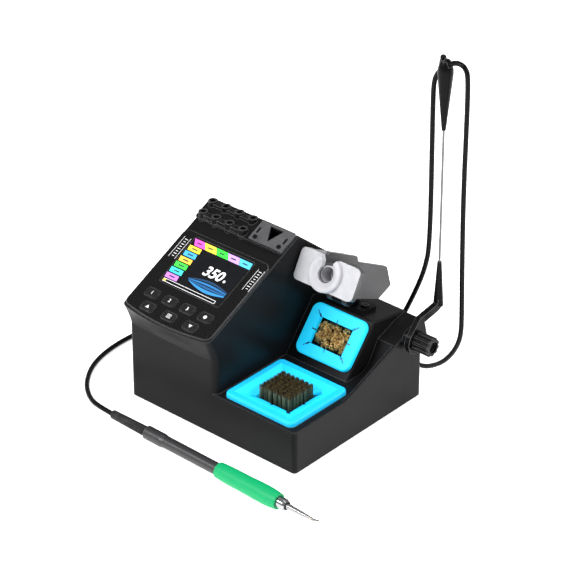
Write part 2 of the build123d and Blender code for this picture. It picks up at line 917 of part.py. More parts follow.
# Fascia plate over the panel, with the display window and the key holes
with BuildPart() as fascia:
    with BuildSketch(panel_plane) as fascia_outline:
        with BuildLine():
            ThreePointArc(
                (-fascia_half, fascia_foot),
                (0, fascia_foot - fascia_bow),
                (fascia_half, fascia_foot),
            )
            Polyline(
                (fascia_half, fascia_foot),
                (fascia_half, fascia_top),
                (-fascia_half, fascia_top),
                (-fascia_half, fascia_foot),
            )
        make_face()
        fillet(fascia_outline.vertices(), fascia_round)
        with Locations((0, display_centre)):
            RectangleRounded(display_width, display_height, display_round, mode=Mode.SUBTRACT)
        with Locations(*key_rows.values()):
            RectangleRounded(
                key_width + 2 * key_fit, key_height + 2 * key_fit, key_round + key_fit, mode=Mode.SUBTRACT
            )
    extrude(amount=fascia_thickness)
    chamfer(fascia.faces().filter_by(panel_plane).sort_by(Axis.Z)[-1].outer_wire().edges(), fascia_chamfer)
fascia.part.label = "fascia"
export_step(fascia.part, "parts/fascia.step")

# Display lens in the window
with BuildPart() as display_lens:
    with BuildSketch(panel_plane):
        with Locations((0, display_centre)):
            RectangleRounded(
                display_width - 2 * lens_fit, display_height - 2 * lens_fit, display_round - lens_fit
            )
    extrude(amount=fascia_thickness)
display_lens.part.label = "display_lens"
export_step(display_lens.part, "parts/display_lens.step")

# Display module under the lens
with BuildPart() as lcd_module:
    with BuildSketch(panel_plane):
        with Locations((0, display_centre)):
            Rectangle(lcd_width, lcd_height)
    extrude(amount=-lcd_thickness)
lcd_module.part.label = "lcd_module"
export_step(lcd_module.part, "parts/lcd_module.step")

# Key board: its front edge lies on the nose, its rear edge under the panel, with a dome below each key
with BuildPart() as key_board:
    with BuildSketch(panel_plane.offset(-wall)):
        with Locations((0, key_bay_foot + key_board_fit)):
            Rectangle(
                key_bay_width - 2 * key_board_fit,
                key_bay_top + key_board_under - key_bay_foot - key_board_fit,
                align=(Align.CENTER, Align.MIN),
            )
    extrude(amount=-board_thickness)
    with BuildSketch(panel_plane.offset(-wall)):
        with Locations(*key_rows.values()):
            Circle(key_dome_width / 2)
    extrude(amount=wall - key_gap - key_flange_thickness - key_travel - key_fit)
key_board.part.label = "key_board"
export_step(key_board.part, "parts/key_board.step")

# Seven key caps, held by a flange under the fascia
for key_name, key_place in key_rows.items():
    with BuildPart() as key_cap:
        with BuildSketch(panel_plane.offset(-key_gap)):
            with Locations(key_place):
                RectangleRounded(
                    key_width + 2 * key_flange,
                    key_height + 2 * key_flange,
                    key_round + key_flange,
                )
        extrude(amount=-key_flange_thickness)
        with BuildSketch(panel_plane.offset(-key_gap)):
            with Locations(key_place):
                RectangleRounded(key_width, key_height, key_round)
        extrude(amount=key_gap + fascia_thickness + key_proud)
        fillet(key_cap.faces().filter_by(panel_plane).sort_by(Axis.Z)[-1].edges(), key_edge)
    key_cap.part.label = key_name
    export_step(key_cap.part, f"parts/{key_name}.step")

# Control board with its heat sink, capacitors and connector
with BuildPart() as control_board:
    with BuildSketch(Plane.XY.offset(plate_top + board_post)):
        with Locations(board_places[0][0]):
            Rectangle(control_width, control_depth)
    extrude(amount=board_thickness)
    with BuildSketch(Plane.XY.offset(plate_top + board_post + board_thickness)):
        with Locations(board_places[0][0]):
            with Locations((-control_width / 4, 0)):
                Rectangle(control_width / 4, control_depth / 2)
            with Locations((control_width / 4, 0)):
                with GridLocations(0, control_depth / 3, 1, 2):
                    Circle(capacitor_radius)
    extrude(amount=capacitor_height)
control_board.part.label = "control_board"
export_step(control_board.part, "parts/control_board.step")

# Power supply board with its transformer and capacitors
with BuildPart() as power_supply:
    with BuildSketch(Plane.XY.offset(plate_top + board_post)):
        with Locations(board_places[1][0]):
            Rectangle(supply_width, supply_depth)
    extrude(amount=board_thickness)
    with BuildSketch(Plane.XY.offset(plate_top + board_post + board_thickness)):
        with Locations(board_places[1][0]):
            Rectangle(supply_width / 2, supply_depth / 2)
    extrude(amount=transformer_height)
    with BuildSketch(Plane.XY.offset(plate_top + board_post + board_thickness)):
        with Locations(board_places[1][0]):
            with GridLocations(supply_width - 3 * capacitor_radius, supply_depth / 2, 2, 2):
                Circle(capacitor_radius)
    extrude(amount=capacitor_height)
power_supply.part.label = "power_supply"
export_step(power_supply.part, "parts/power_supply.step")

# Tip tray: a plate on the panel, a well through it, and two stepped rows of tip sockets
with BuildPart() as tip_tray:
    for row_back, row_rise in socket_rows.values():
        row_top = ridge_z + row_rise
        row_y = ridge_y - row_back
        first_x = station_left + socket_first
        last_x = first_x + socket_pitch * (socket_columns - 1)
        with BuildSketch(Plane.XY.offset(row_top - socket_root)):
            with Locations(((first_x + last_x) / 2, row_y)):
                Rectangle(last_x - first_x, socket_ridge_width)
        extrude(amount=socket_root - socket_ridge_drop)
        with BuildSketch(Plane.XY.offset(row_top - socket_root)):
            with Locations(((first_x + last_x) / 2, row_y)):
                with GridLocations(socket_pitch, 0, socket_columns, 1):
                    Circle(socket_boss / 2)
        extrude(amount=socket_root)
    split(bisect_by=panel_plane, keep=Keep.TOP)
    with BuildSketch(panel_plane) as tray_outline:
        with Locations((0, (tray_foot + tray_top) / 2)):
            Rectangle(controller_width - 2 * tray_inset, tray_top - tray_foot)
        fillet(tray_outline.vertices(), tray_round)
    extrude(amount=tray_plate)
    with BuildSketch(panel_plane):
        with Locations((0, (tray_foot + tray_top) / 2)):
            Rectangle(
                controller_width - 2 * (wall + tray_inset + tray_fit),
                tray_top - tray_foot - 2 * (tray_well_margin + tray_fit),
            )
    extrude(amount=-tray_well)
    for row_back, row_rise in socket_rows.values():
        with BuildSketch(Plane.XY.offset(ridge_z + row_rise)):
            with Locations(((first_x + last_x) / 2, ridge_y - row_back)):
                with GridLocations(socket_pitch, 0, socket_columns, 1):
                    Circle(socket_bore / 2)
        extrude(amount=-socket_depth, mode=Mode.SUBTRACT)
    # Shaft under the puller plate, and holes for its screws
    with BuildSketch(panel_plane.offset(tray_plate)):
        with Locations((puller_x, puller_centre)):
            Rectangle(puller_shaft_width, puller_shaft_height)
    extrude(amount=-tray_plate - tray_well, mode=Mode.SUBTRACT)
    with BuildSketch(panel_plane.offset(tray_plate)):
        with Locations((puller_x, puller_centre)):
            with Locations(*puller_screw_places):
                Circle(puller_screw_radius + screw_fit / 2)
    extrude(amount=-puller_screw_length, mode=Mode.SUBTRACT)
tip_tray.part.label = "tip_tray"
export_step(tip_tray.part, "parts/tip_tray.step")

# Steel puller plate with its triangular pulling hole and two slots
with BuildPart() as tip_puller_plate:
    with BuildSketch(panel_plane.offset(tray_plate)):
        with Locations((puller_x, puller_centre)):
            RectangleRounded(puller_width, puller_height, puller_round)
            with Locations((-puller_slot_offset, 0), (puller_slot_offset, 0)):
                SlotOverall(puller_slot_length, puller_slot_width, rotation=90, mode=Mode.SUBTRACT)
            with Locations(*puller_screw_places):
                Circle(puller_screw_radius + screw_fit, mode=Mode.SUBTRACT)
        with BuildLine():
            Polyline(
                (puller_x - puller_triangle / 2, puller_triangle_top),
                (puller_x + puller_triangle / 2, puller_triangle_top),
                (puller_x, puller_triangle_top - puller_triangle),
                close=True,
            )
        make_face(mode=Mode.SUBTRACT)
    extrude(amount=puller_thickness)
tip_puller_plate.part.label = "tip_puller_plate"
export_step(tip_puller_plate.part, "parts/tip_puller_plate.step")

# Two small screws that hold the puller plate
with BuildPart() as puller_screws:
    with BuildSketch(panel_plane.offset(tray_plate + puller_thickness)):
        with Locations((puller_x, puller_centre)):
            with Locations(*puller_screw_places):
                Circle(puller_screw_head)
    extrude(amount=puller_screw_head_height)
    with BuildSketch(panel_plane.offset(tray_plate + puller_thickness)):
        with Locations((puller_x, puller_centre)):
            with Locations(*puller_screw_places):
                Circle(puller_screw_radius)
    extrude(amount=-puller_screw_length)
puller_screws.part.label = "puller_screws"
export_step(puller_screws.part, "parts/puller_screws.step")

# Blue silicone tray round the brush: a sloping funnel down to the brush hole, open below for the backing
with BuildPart() as brush_pad:
    with BuildSketch(Plane.XY.offset(brush_pad_base)):
        with Locations((brush_pad_x, brush_pad_y)):
            RectangleRounded(brush_pad_width, brush_pad_depth, brush_pad_round)
    extrude(amount=brush_pad_height)
    fillet(brush_pad.faces().sort_by(Axis.Z)[-1].edges(), brush_pad_edge)
    with BuildSketch(Plane.XY.offset(brush_pad_top)):
        with Locations((brush_pad_x, brush_pad_y)):
            Rectangle(brush_pad_width - 2 * pad_rim, brush_pad_depth - 2 * pad_rim)
    with BuildSketch(Plane.XY.offset(brush_pad_top - funnel_drop)):
        with Locations((brush_pad_x, brush_pad_y)):
            Rectangle(brush_hole_width, brush_hole_depth)
    loft(mode=Mode.SUBTRACT)
    with BuildSketch(Plane.XY.offset(brush_pad_base)):
        with Locations((brush_pad_x, brush_pad_y)):
            Rectangle(brush_hole_width, brush_hole_depth)
            for turn in (45, -45):
                SlotOverall(brush_slit_span, brush_slit, rotation=turn)
            for turn in (0, 90):
                SlotOverall(brush_slit_reach, brush_slit, rotation=turn)
    extrude(amount=brush_pad_height, mode=Mode.SUBTRACT)
    with BuildSketch(Plane.XY.offset(brush_pad_base)):
        with Locations((brush_pad_x, brush_pad_y)):
            Rectangle(backing_width + 2 * backing_fit, backing_depth + 2 * backing_fit)
    extrude(amount=backing_thickness + backing_fit, mode=Mode.SUBTRACT)
brush_pad.part.label = "brush_pad"
export_step(brush_pad.part, "parts/brush_pad.step")

# Brush: square strands in tufts, standing on one backing slice
with BuildPart() as brush_bristles:
    with BuildSketch(Plane.XY.offset(brush_pad_base)):
        with Locations((brush_pad_x, brush_pad_y)):
            Rectangle(backing_width, backing_depth)
    extrude(amount=backing_thickness)
    with BuildSketch(Plane.XY.offset(brush_pad_base + backing_thickness)):
        with Locations((brush_pad_x, brush_pad_y)):
            with GridLocations(tuft_pitch_x, tuft_pitch_y, tufts_across, tufts_deep):
                with GridLocations(strand_pitch, strand_pitch, strands_a_side, strands_a_side):
                    Rectangle(strand_side, strand_side)
    extrude(amount=strand_height)
brush_bristles.part.label = "brush_bristles"
export_step(brush_bristles.part, "parts/brush_bristles.step")

# Blue silicone frame on the hump's face, with a slit window and a collar that plugs into the pocket
with BuildPart() as wool_pad:
    with BuildSketch(hump_plane.offset(wool_gap)):
        with Locations((0, wool_pad_centre)):
            RectangleRounded(wool_pad_width, wool_pad_height, wool_pad_round)
    extrude(amount=wool_pad_thickness)
    fillet(wool_pad.faces().filter_by(hump_plane).sort_by(Axis.Z)[-1].edges(), wool_pad_edge)
    with BuildSketch(hump_plane.offset(wool_gap)):
        with Locations((0, wool_pad_centre)):
            Rectangle(wool_plug_width, wool_plug_height)
            Rectangle(
                wool_plug_width - 2 * wool_plug_wall,
                wool_plug_height - 2 * wool_plug_wall,
                mode=Mode.SUBTRACT,
            )
    extrude(amount=-wool_plug_depth)
    with BuildSketch(hump_plane):
        with Locations((0, wool_pad_centre)):
            RectangleRounded(wool_window_width, wool_window_height, wool_window_round)
            with GridLocations(wool_window_width, wool_window_height, 2, 2):
                Rectangle(wool_slit, wool_slit)
            with GridLocations(wool_window_width, 0, 2, 1):
                SlotOverall(2 * wool_side_slit, wool_slit)
            with GridLocations(0, wool_window_height, 1, 2):
                SlotOverall(2 * wool_side_slit, wool_slit, rotation=90)
            for side_x, side_y in ((1, 1), (-1, 1), (1, -1), (-1, -1)):
                with Locations((side_x * wool_window_width / 2, side_y * wool_window_height / 2)):
                    SlotOverall(2 * wool_corner_slit, wool_slit, rotation=45 * side_x * side_y)
    extrude(amount=wool_gap + wool_pad_thickness, mode=Mode.SUBTRACT)
wool_pad.part.label = "wool_pad"
export_step(wool_pad.part, "parts/wool_pad.step")

# Brass wool filling the pocket behind the window
with BuildPart() as brass_wool:
    with BuildSketch(hump_plane):
        with Locations((0, wool_pad_centre)):
            RectangleRounded(
                wool_plug_width - 2 * (wool_plug_wall + wool_gap),
                wool_plug_height - 2 * (wool_plug_wall + wool_gap),
                wool_window_round,
            )
    extrude(amount=-wool_depth)
    with BuildSketch(hump_plane):
        with Locations((0, wool_pad_centre)):
            RectangleRounded(
                wool_window_width - 2 * wool_gap, wool_window_height - 2 * wool_gap, wool_window_round
            )
    extrude(amount=wool_pad_thickness - wool_gap)
brass_wool.part.label = "brass_wool"
export_step(brass_wool.part, "parts/brass_wool.step")

# Holder front plate: a bright plate with a funnel round the bore, slotted at the top
with BuildPart() as holder_plate:
    with BuildSketch(holder_plane) as plate_outline:
        Rectangle(holder_width, holder_height)
        fillet(plate_outline.vertices(), holder_corner)
    extrude(amount=-holder_plate_thickness)
    with BuildSketch(holder_back):
        Circle(funnel_radius)
    extrude(amount=holder_plate_thickness + funnel_proud)
    fillet(holder_plate.faces().filter_by(holder_plane).sort_by(Axis.Y)[0].edges(), funnel_edge)
    with BuildSketch(holder_plane.offset(funnel_proud)):
        Circle(funnel_mouth)
    with BuildSketch(holder_plane.offset(funnel_throat)):
        Circle(holder_bore)
    loft(mode=Mode.SUBTRACT)
    with BuildSketch(holder_back):
        Circle(holder_bore)
    extrude(amount=holder_plate_thickness + funnel_throat, mode=Mode.SUBTRACT)
    with BuildSketch(holder_plane.offset(funnel_proud)):
        with BuildLine():
            Polyline(*plate_slot, close=True)
        make_face()
    extrude(amount=-funnel_proud - holder_plate_thickness, mode=Mode.SUBTRACT)
holder_plate.part.label = "holder_plate"
export_step(holder_plate.part, "parts/holder_plate.step")

# Holder body: a flange behind the plate, a block with a slanted rear and an open channel, and two lugs
with BuildPart() as holder_body:
    with BuildSketch(Plane.YZ.offset(holder_mid_x)):
        with BuildLine():
            Polyline(*[(point.Y, point.Z) for point in body_side], close=True)
        make_face()
    extrude(amount=body_width / 2, both=True)
    fillet(holder_body.edges().filter_by(Axis.X).sort_by(Axis.Y)[2:], body_edge)
    with BuildSketch(holder_back) as flange_outline:
        Rectangle(holder_width, holder_height)
        fillet(flange_outline.vertices(), holder_corner)
    extrude(amount=-holder_flange)
    with BuildSketch(holder_back):
        Circle(holder_channel)
        with BuildLine():
            Polyline(*body_slot, close=True)
        make_face()
    extrude(amount=-body_end, mode=Mode.SUBTRACT)
    for side in (-1, 1):
        lug_middle = holder_mid_x + side * (tongue_thickness / 2 + lug_gap + lug_thickness / 2)
        with BuildSketch(Plane.YZ.offset(lug_middle)):
            with Locations((pin_point.Y, pin_point.Z)):
                Circle(lug_radius)
            with BuildLine():
                Polyline(*[(point.Y, point.Z) for point in lug_web], close=True)
            make_face()
        extrude(amount=lug_thickness / 2, both=True)
    with BuildSketch(Plane.YZ.offset(holder_mid_x)):
        with Locations((pin_point.Y, pin_point.Z)):
            Circle(pin_radius + pin_fit / 2)
    extrude(amount=holder_width, both=True, mode=Mode.SUBTRACT)
holder_body.part.label = "holder_body"
export_step(holder_body.part, "parts/holder_body.step")

# Tilting pin through the lugs and the bracket's tongue
with BuildPart() as holder_pin:
    with BuildSketch(Plane.YZ.offset(holder_mid_x)):
        with Locations((pin_point.Y, pin_point.Z)):
            Circle(pin_radius)
    extrude(amount=pin_half, both=True)
    with BuildSketch(Plane.YZ.offset(holder_mid_x + pin_half)):
        with Locations((pin_point.Y, pin_point.Z)):
            Circle(pin_head_radius)
    extrude(amount=pin_head_height)
holder_pin.part.label = "holder_pin"
export_step(holder_pin.part, "parts/holder_pin.step")

# Bracket: a foot on the shelf and a tongue that leans forward to the pin
with BuildPart() as holder_bracket:
    with BuildSketch(shelf_plane):
        RectangleRounded(bracket_width, bracket_depth, bracket_round)
    extrude(amount=bracket_thickness)
    with BuildSketch(Plane.YZ.offset(holder_mid_x)):
        with Locations((pin_point.Y, pin_point.Z)):
            Circle(lug_radius)
        with BuildLine():
            Polyline(*[(point.Y, point.Z) for point in tongue_limb], close=True)
        make_face()
    extrude(amount=tongue_thickness / 2, both=True)
    split(bisect_by=shelf_plane, keep=Keep.TOP)
    with BuildSketch(Plane.YZ.offset(holder_mid_x)):
        with Locations((pin_point.Y, pin_point.Z)):
            Circle(pin_radius + pin_fit)
    extrude(amount=tongue_thickness, both=True, mode=Mode.SUBTRACT)
    with BuildSketch(shelf_plane):
        with Locations((-bracket_screw_offset, 0), (bracket_screw_offset, 0)):
            Circle(screw_radius + screw_fit)
    extrude(amount=bracket_thickness, mode=Mode.SUBTRACT)
holder_bracket.part.label = "holder_bracket"
export_step(holder_bracket.part, "parts/holder_bracket.step")

# Two screws that hold the bracket to the shelf
with BuildPart() as bracket_screws:
    with BuildSketch(shelf_plane.offset(bracket_thickness)):
        with Locations((-bracket_screw_offset, 0), (bracket_screw_offset, 0)):
            Circle(screw_head_radius)
    extrude(amount=screw_head_height)
    with BuildSketch(shelf_plane.offset(bracket_thickness)):
        with Locations((-bracket_screw_offset, 0), (bracket_screw_offset, 0)):
            Circle(screw_radius)
    extrude(amount=-bracket_screw_length)
bracket_screws.part.label = "bracket_screws"
export_step(bracket_screws.part, "parts/bracket_screws.step")

# Boss of the cable arm on the right wall, with a spigot into the wall
with BuildPart() as arm_boss:
    with BuildSketch(Plane.YZ.offset(right_x)):
        with Locations((arm_pivot_y, arm_pivot_z)):
            Circle(arm_boss_radius)
    extrude(amount=arm_boss_thickness)
    with BuildSketch(Plane.YZ.offset(right_x)):
        with Locations((arm_pivot_y, arm_pivot_z)):
            Circle(arm_spigot_radius)
    extrude(amount=-arm_spigot_length)
    with BuildSketch(Plane.YZ.offset(right_x + arm_boss_thickness)):
        with Locations((arm_pivot_y, arm_pivot_z)):
            Circle(clamp_radius + clamp_fit)
    extrude(amount=-arm_boss_thickness - arm_spigot_length, mode=Mode.SUBTRACT)
arm_boss.part.label = "arm_boss"
export_step(arm_boss.part, "parts/arm_boss.step")

# Lower arm: a drop-shaped lug on the pivot, a limb that cranks back, and a tapered foot for the rod
with BuildPart() as arm_lower:
    with BuildSketch(Plane.YZ.offset(arm_x)):
        with Locations((arm_pivot_y, arm_pivot_z)):
            Circle(arm_lug_radius)
        with Locations((arm_pivot_y + arm_lean, arm_elbow_z)):
            Circle(arm_limb / 2)
        make_hull()
        with BuildLine():
            FilletPolyline(
                (arm_pivot_y, arm_pivot_z),
                (arm_pivot_y + arm_lean, arm_elbow_z),
                (arm_rod_y, arm_crank_z),
                (arm_rod_y, arm_crank_z + arm_limb),
                radius=arm_bend,
            )
        trace(line_width=arm_limb)
    extrude(amount=arm_thickness / 2, both=True)
    with Locations((arm_x, arm_rod_y, arm_crank_z)):
        Cone(
            arm_cone_low,
            arm_cone_high,
            arm_foot_rise,
            align=(Align.CENTER, Align.CENTER, Align.MIN),
        )
    with Locations((arm_x, arm_rod_y, arm_cone_top_z)):
        Cylinder(
            rod_radius + rod_fit,
            rod_seat,
            align=(Align.CENTER, Align.CENTER, Align.MAX),
            mode=Mode.SUBTRACT,
        )
    with BuildSketch(Plane.YZ.offset(arm_x)):
        with Locations((arm_pivot_y, arm_pivot_z)):
            Circle(clamp_radius + clamp_fit)
    extrude(amount=arm_thickness, both=True, mode=Mode.SUBTRACT)
arm_lower.part.label = "arm_lower"
export_step(arm_lower.part, "parts/arm_lower.step")

# Steel rod
with BuildPart() as arm_rod:
    with Locations((arm_x, arm_rod_y, arm_cone_top_z - rod_seat)):
        Cylinder(rod_radius, rod_length + 2 * rod_seat, align=(Align.CENTER, Align.CENTER, Align.MIN))
arm_rod.part.label = "arm_rod"
export_step(arm_rod.part, "parts/arm_rod.step")

# Cable clip on the rod: a slender bullet, slotted across its crown, with a ball-ended finger beside the slot
with BuildPart() as arm_clip:
    with BuildSketch(Plane.XZ.offset(-arm_rod_y)):
        with BuildLine():
            Polyline((arm_x, clip_z), (arm_x + clip_low, clip_z), (arm_x + clip_high, clip_top.Z))
            ThreePointArc(
                (arm_x + clip_high, clip_top.Z),
                (arm_x + clip_shoulder, clip_top.Z + clip_shoulder_rise),
                (arm_x + clip_crown, clip_top.Z + clip_crown_rise),
            )
            Polyline(
                (arm_x + clip_crown, clip_top.Z + clip_crown_rise),
                (arm_x, clip_top.Z + clip_crown_rise),
                (arm_x, clip_z),
            )
        make_face()
    revolve(axis=Axis(clip_top, (0, 0, 1)))
    with Locations(Location((arm_x, arm_rod_y, clip_top.Z + clip_seat), (0, -clip_slot_slope, 0))):
        Box(
            4 * clip_crown_rise,
            clip_slot,
            2 * clip_crown_rise,
            align=(Align.CENTER, Align.CENTER, Align.MIN),
            mode=Mode.SUBTRACT,
        )
    with BuildLine() as finger_route:
        Spline(*[clip_top + Vector(*step) for step in (finger_foot, finger_bend, finger_tip)])
    with BuildSketch(Plane(origin=finger_route.line @ 0, z_dir=finger_route.line % 0)):
        Circle(finger_radius)
    sweep(path=finger_route.line)
    with Locations(clip_top + Vector(*finger_tip)):
        Sphere(finger_ball)
    with Locations((arm_x, arm_rod_y, clip_z)):
        Cylinder(
            rod_radius + rod_fit,
            rod_seat,
            align=(Align.CENTER, Align.CENTER, Align.MIN),
            mode=Mode.SUBTRACT,
        )
arm_clip.part.label = "arm_clip"
export_step(arm_clip.part, "parts/arm_clip.step")

# Fluted clamping knob with a hollow end
with BuildPart() as arm_knob:
    with BuildSketch(Plane.YZ.offset(knob_x)):
        with Locations((arm_pivot_y, arm_pivot_z)):
            Circle(knob_radius)
            with PolarLocations(knob_radius + knob_flute_out, knob_flutes):
                Circle(knob_flute_radius, mode=Mode.SUBTRACT)
    extrude(amount=knob_length)
    chamfer(arm_knob.faces().sort_by(Axis.X)[-1].outer_wire().edges(), knob_edge)
    with BuildSketch(Plane.YZ.offset(knob_x + knob_length)):
        with Locations((arm_pivot_y, arm_pivot_z)):
            Circle(knob_hollow)
    extrude(amount=-knob_hollow_depth, mode=Mode.SUBTRACT)
    with BuildSketch(Plane.YZ.offset(knob_x)):
        with Locations((arm_pivot_y, arm_pivot_z)):
            Circle(clamp_radius + rod_fit)
    extrude(amount=knob_seat, mode=Mode.SUBTRACT)
arm_knob.part.label = "arm_knob"
export_step(arm_knob.part, "parts/arm_knob.step")

# Clamping screw, fixed in the knob and reaching through the arm into the boss
with BuildPart() as arm_screw:
    with BuildSketch(Plane.YZ.offset(knob_x + knob_seat)):
        with Locations((arm_pivot_y, arm_pivot_z)):
            Circle(clamp_radius)
    extrude(amount=-clamp_length)
arm_screw.part.label = "arm_screw"
export_step(arm_screw.part, "parts/arm_screw.step")

# Mains inlet on the rear wall: flange, body and a recess with three blades
with BuildPart() as power_inlet:
    with BuildSketch(rear_plane.offset(-inlet_flange)):
        with Locations((station_left + inlet_offset, rear_row_z)):
            RectangleRounded(inlet_width + 2 * inlet_lip, inlet_height + 2 * inlet_lip, inlet_lip)
    extrude(amount=inlet_flange)
    with BuildSketch(rear_plane):
        with Locations((station_left + inlet_offset, rear_row_z)):
            Rectangle(inlet_width, inlet_height)
    extrude(amount=inlet_depth)
    with BuildSketch(rear_plane.offset(-inlet_flange)) as recess:
        with Locations((station_left + inlet_offset, rear_row_z)):
            Rectangle(inlet_width - 2 * inlet_lip, inlet_height - 2 * inlet_lip)
        chamfer(recess.vertices().group_by(Axis.Z)[-1], 2 * inlet_lip)
    extrude(amount=inlet_depth, mode=Mode.SUBTRACT)
    with BuildSketch(rear_plane.offset(inlet_depth - inlet_flange)):
        with Locations((station_left + inlet_offset, rear_row_z)):
            with Locations((-blade_pitch, 0), (0, blade_lift), (blade_pitch, 0)):
                Rectangle(blade_width, blade_height)
    extrude(amount=-blade_length)
power_inlet.part.label = "power_inlet"
export_step(power_inlet.part, "parts/power_inlet.step")

# Frame of the power switch
with BuildPart() as switch_frame:
    with BuildSketch(rear_plane.offset(-switch_lip)):
        with Locations((station_left + switch_offset, rear_row_z)):
            RectangleRounded(switch_width + 2 * switch_lip, switch_height + 2 * switch_lip, switch_lip)
    extrude(amount=switch_lip)
    with BuildSketch(rear_plane):
        with Locations((station_left + switch_offset, rear_row_z)):
            Rectangle(switch_width, switch_height)
    extrude(amount=switch_depth)
    with BuildSketch(rear_plane.offset(-switch_lip)):
        with Locations((station_left + switch_offset, rear_row_z)):
            Rectangle(switch_width - 2 * switch_wall, switch_height - 2 * switch_wall)
    extrude(amount=switch_depth, mode=Mode.SUBTRACT)
    with BuildSketch(Plane.YZ.offset(station_left + switch_offset)):
        with Locations((rear_y - rocker_pivot, rear_row_z)):
            Circle(rocker_pin)
    extrude(amount=switch_width / 2 - switch_wall + rod_fit, both=True)
switch_frame.part.label = "switch_frame"
export_step(switch_frame.part, "parts/switch_frame.step")

# Rocker of the power switch, resting with its lower half out
with BuildPart() as power_rocker:
    with BuildSketch(rocker_plane):
        with BuildLine():
            Polyline(
                (rocker_proud, rocker_half),
                (rocker_valley, 0),
                (rocker_proud, -rocker_half),
                (-rocker_root, -rocker_half / 2),
                (-rocker_root, rocker_half / 2),
                close=True,
            )
        make_face()
        Circle(rocker_pin + rocker_gap, mode=Mode.SUBTRACT)
    extrude(amount=switch_width / 2 - switch_wall - rocker_gap, both=True)
power_rocker.part.label = "power_rocker"
export_step(power_rocker.part, "parts/power_rocker.step")

# Socket for the iron
with BuildPart() as handle_socket:
    with BuildSketch(rear_plane.offset(-socket_flange_thickness)):
        with Locations((station_left + socket_offset, rear_row_z)):
            Circle(socket_flange_radius)
    extrude(amount=socket_flange_thickness)
    with BuildSketch(rear_plane):
        with Locations((station_left + socket_offset, rear_row_z)):
            Circle(socket_radius)
    extrude(amount=socket_inside)
handle_socket.part.label = "handle_socket"
export_step(handle_socket.part, "parts/handle_socket.step")

# Plug of the iron's cable, with a fluted barrel
with BuildPart() as cable_plug:
    with BuildSketch(plug_plane):
        Circle(plug_radius)
        with PolarLocations(plug_radius, plug_ribs):
            Circle(plug_flute, mode=Mode.SUBTRACT)
    extrude(amount=plug_length)
    chamfer(cable_plug.faces().sort_by(Axis.Y)[-1].outer_wire().edges(), plug_chamfer)
cable_plug.part.label = "cable_plug"
export_step(cable_plug.part, "parts/cable_plug.step")

# Boot between the plug and the cable
with BuildPart() as plug_boot:
    with BuildSketch(plug_plane.offset(plug_length)):
        Circle(boot_radius)
    with BuildSketch(plug_plane.offset(plug_length + boot_length)):
        Circle(cable_radius + boot_wall)
    loft()
plug_boot.part.label = "plug_boot"
export_step(plug_boot.part, "parts/plug_boot.step")

# Tail boot of the iron: a taper with bending rings
with BuildPart() as handle_tail:
    with BuildSketch(handle_plane):
        with BuildLine():
            Polyline((0, 0), (0, tail_low), (tail_length, tail_high), (tail_length, 0), close=True)
        make_face()
    revolve(axis=handle_axis)
    for ring in range(tail_rings):
        ring_place = tail_first_ring + ring * tail_ring_pitch
        ring_radius = tail_low + (tail_high - tail_low) * ring_place / tail_length
        with BuildSketch(handle_cross.offset(ring_place)):
            Circle(ring_radius + overcut)
            Circle(ring_radius - tail_ring_depth, mode=Mode.SUBTRACT)
        extrude(amount=tail_ring_width, mode=Mode.SUBTRACT)
handle_tail.part.label = "handle_tail"
export_step(handle_tail.part, "parts/handle_tail.step")

# Handle tube with the bulge at its tail, bored for the cartridge
with BuildPart() as handle_tube:
    with BuildSketch(handle_plane):
        with BuildLine():
            FilletPolyline(
                (tail_length, 0),
                (tail_length, bulge_radius),
                (tail_length + bulge_length, bulge_radius),
                (tail_length + bulge_length + bulge_shoulder, tube_radius),
                (grip_end, tube_radius),
                (grip_end, 0),
                radius=bulge_round,
            )
            Line((grip_end, 0), (tail_length, 0))
        make_face()
    revolve(axis=handle_axis)
    with BuildSketch(handle_cross.offset(grip_end)):
        Circle(cartridge_radius + cartridge_fit)
    extrude(amount=cartridge_seat - grip_end, mode=Mode.SUBTRACT)
handle_tube.part.label = "handle_tube"
export_step(handle_tube.part, "parts/handle_tube.step")

# Green sleeve grip: swollen in front, waisted, with finger rings
with BuildPart() as handle_grip:
    with BuildSketch(handle_plane):
        with BuildLine():
            Spline(*grip_profile)
            Polyline(
                grip_profile[-1],
                (grip_end, tube_radius + rod_fit),
                (grip_start, tube_radius + rod_fit),
                grip_profile[0],
            )
        make_face()
    revolve(axis=handle_axis)
handle_grip.part.label = "handle_grip"
export_step(handle_grip.part, "parts/handle_grip.step")

# Chrome collar at the mouth of the handle
with BuildPart() as handle_collar:
    with BuildSketch(handle_plane):
        with BuildLine():
            Polyline(
                (grip_end, cartridge_radius + cartridge_fit),
                (grip_end, collar_radius),
                (grip_end + collar_length - collar_taper, collar_radius),
                (grip_end + collar_length, collar_radius - collar_taper / 2),
                (grip_end + collar_length, cartridge_radius + cartridge_fit),
                close=True,
            )
        make_face()
    revolve(axis=handle_axis)
handle_collar.part.label = "handle_collar"
export_step(handle_collar.part, "parts/handle_collar.step")

# Tip cartridge: the shaft in the handle and the bright tapered tip with a bent point
with BuildPart() as tip_cartridge:
    with BuildSketch(handle_plane):
        with BuildLine():
            Polyline(
                (cartridge_seat + cartridge_fit, 0),
                (cartridge_seat + cartridge_fit, cartridge_radius),
                (tip_start, cartridge_radius),
                (tip_start + tip_shaft, tip_neck_radius),
                (tip_bend_place, tip_end_radius),
                (tip_bend_place, 0),
                close=True,
            )
        make_face()
    revolve(axis=handle_axis)
    with BuildSketch(handle_cross.offset(tip_bend_place)):
        Circle(tip_end_radius)
    with BuildSketch(tip_point_plane):
        Circle(tip_point_radius)
    loft()
tip_cartridge.part.label = "tip_cartridge"
export_step(tip_cartridge.part, "parts/tip_cartridge.step")

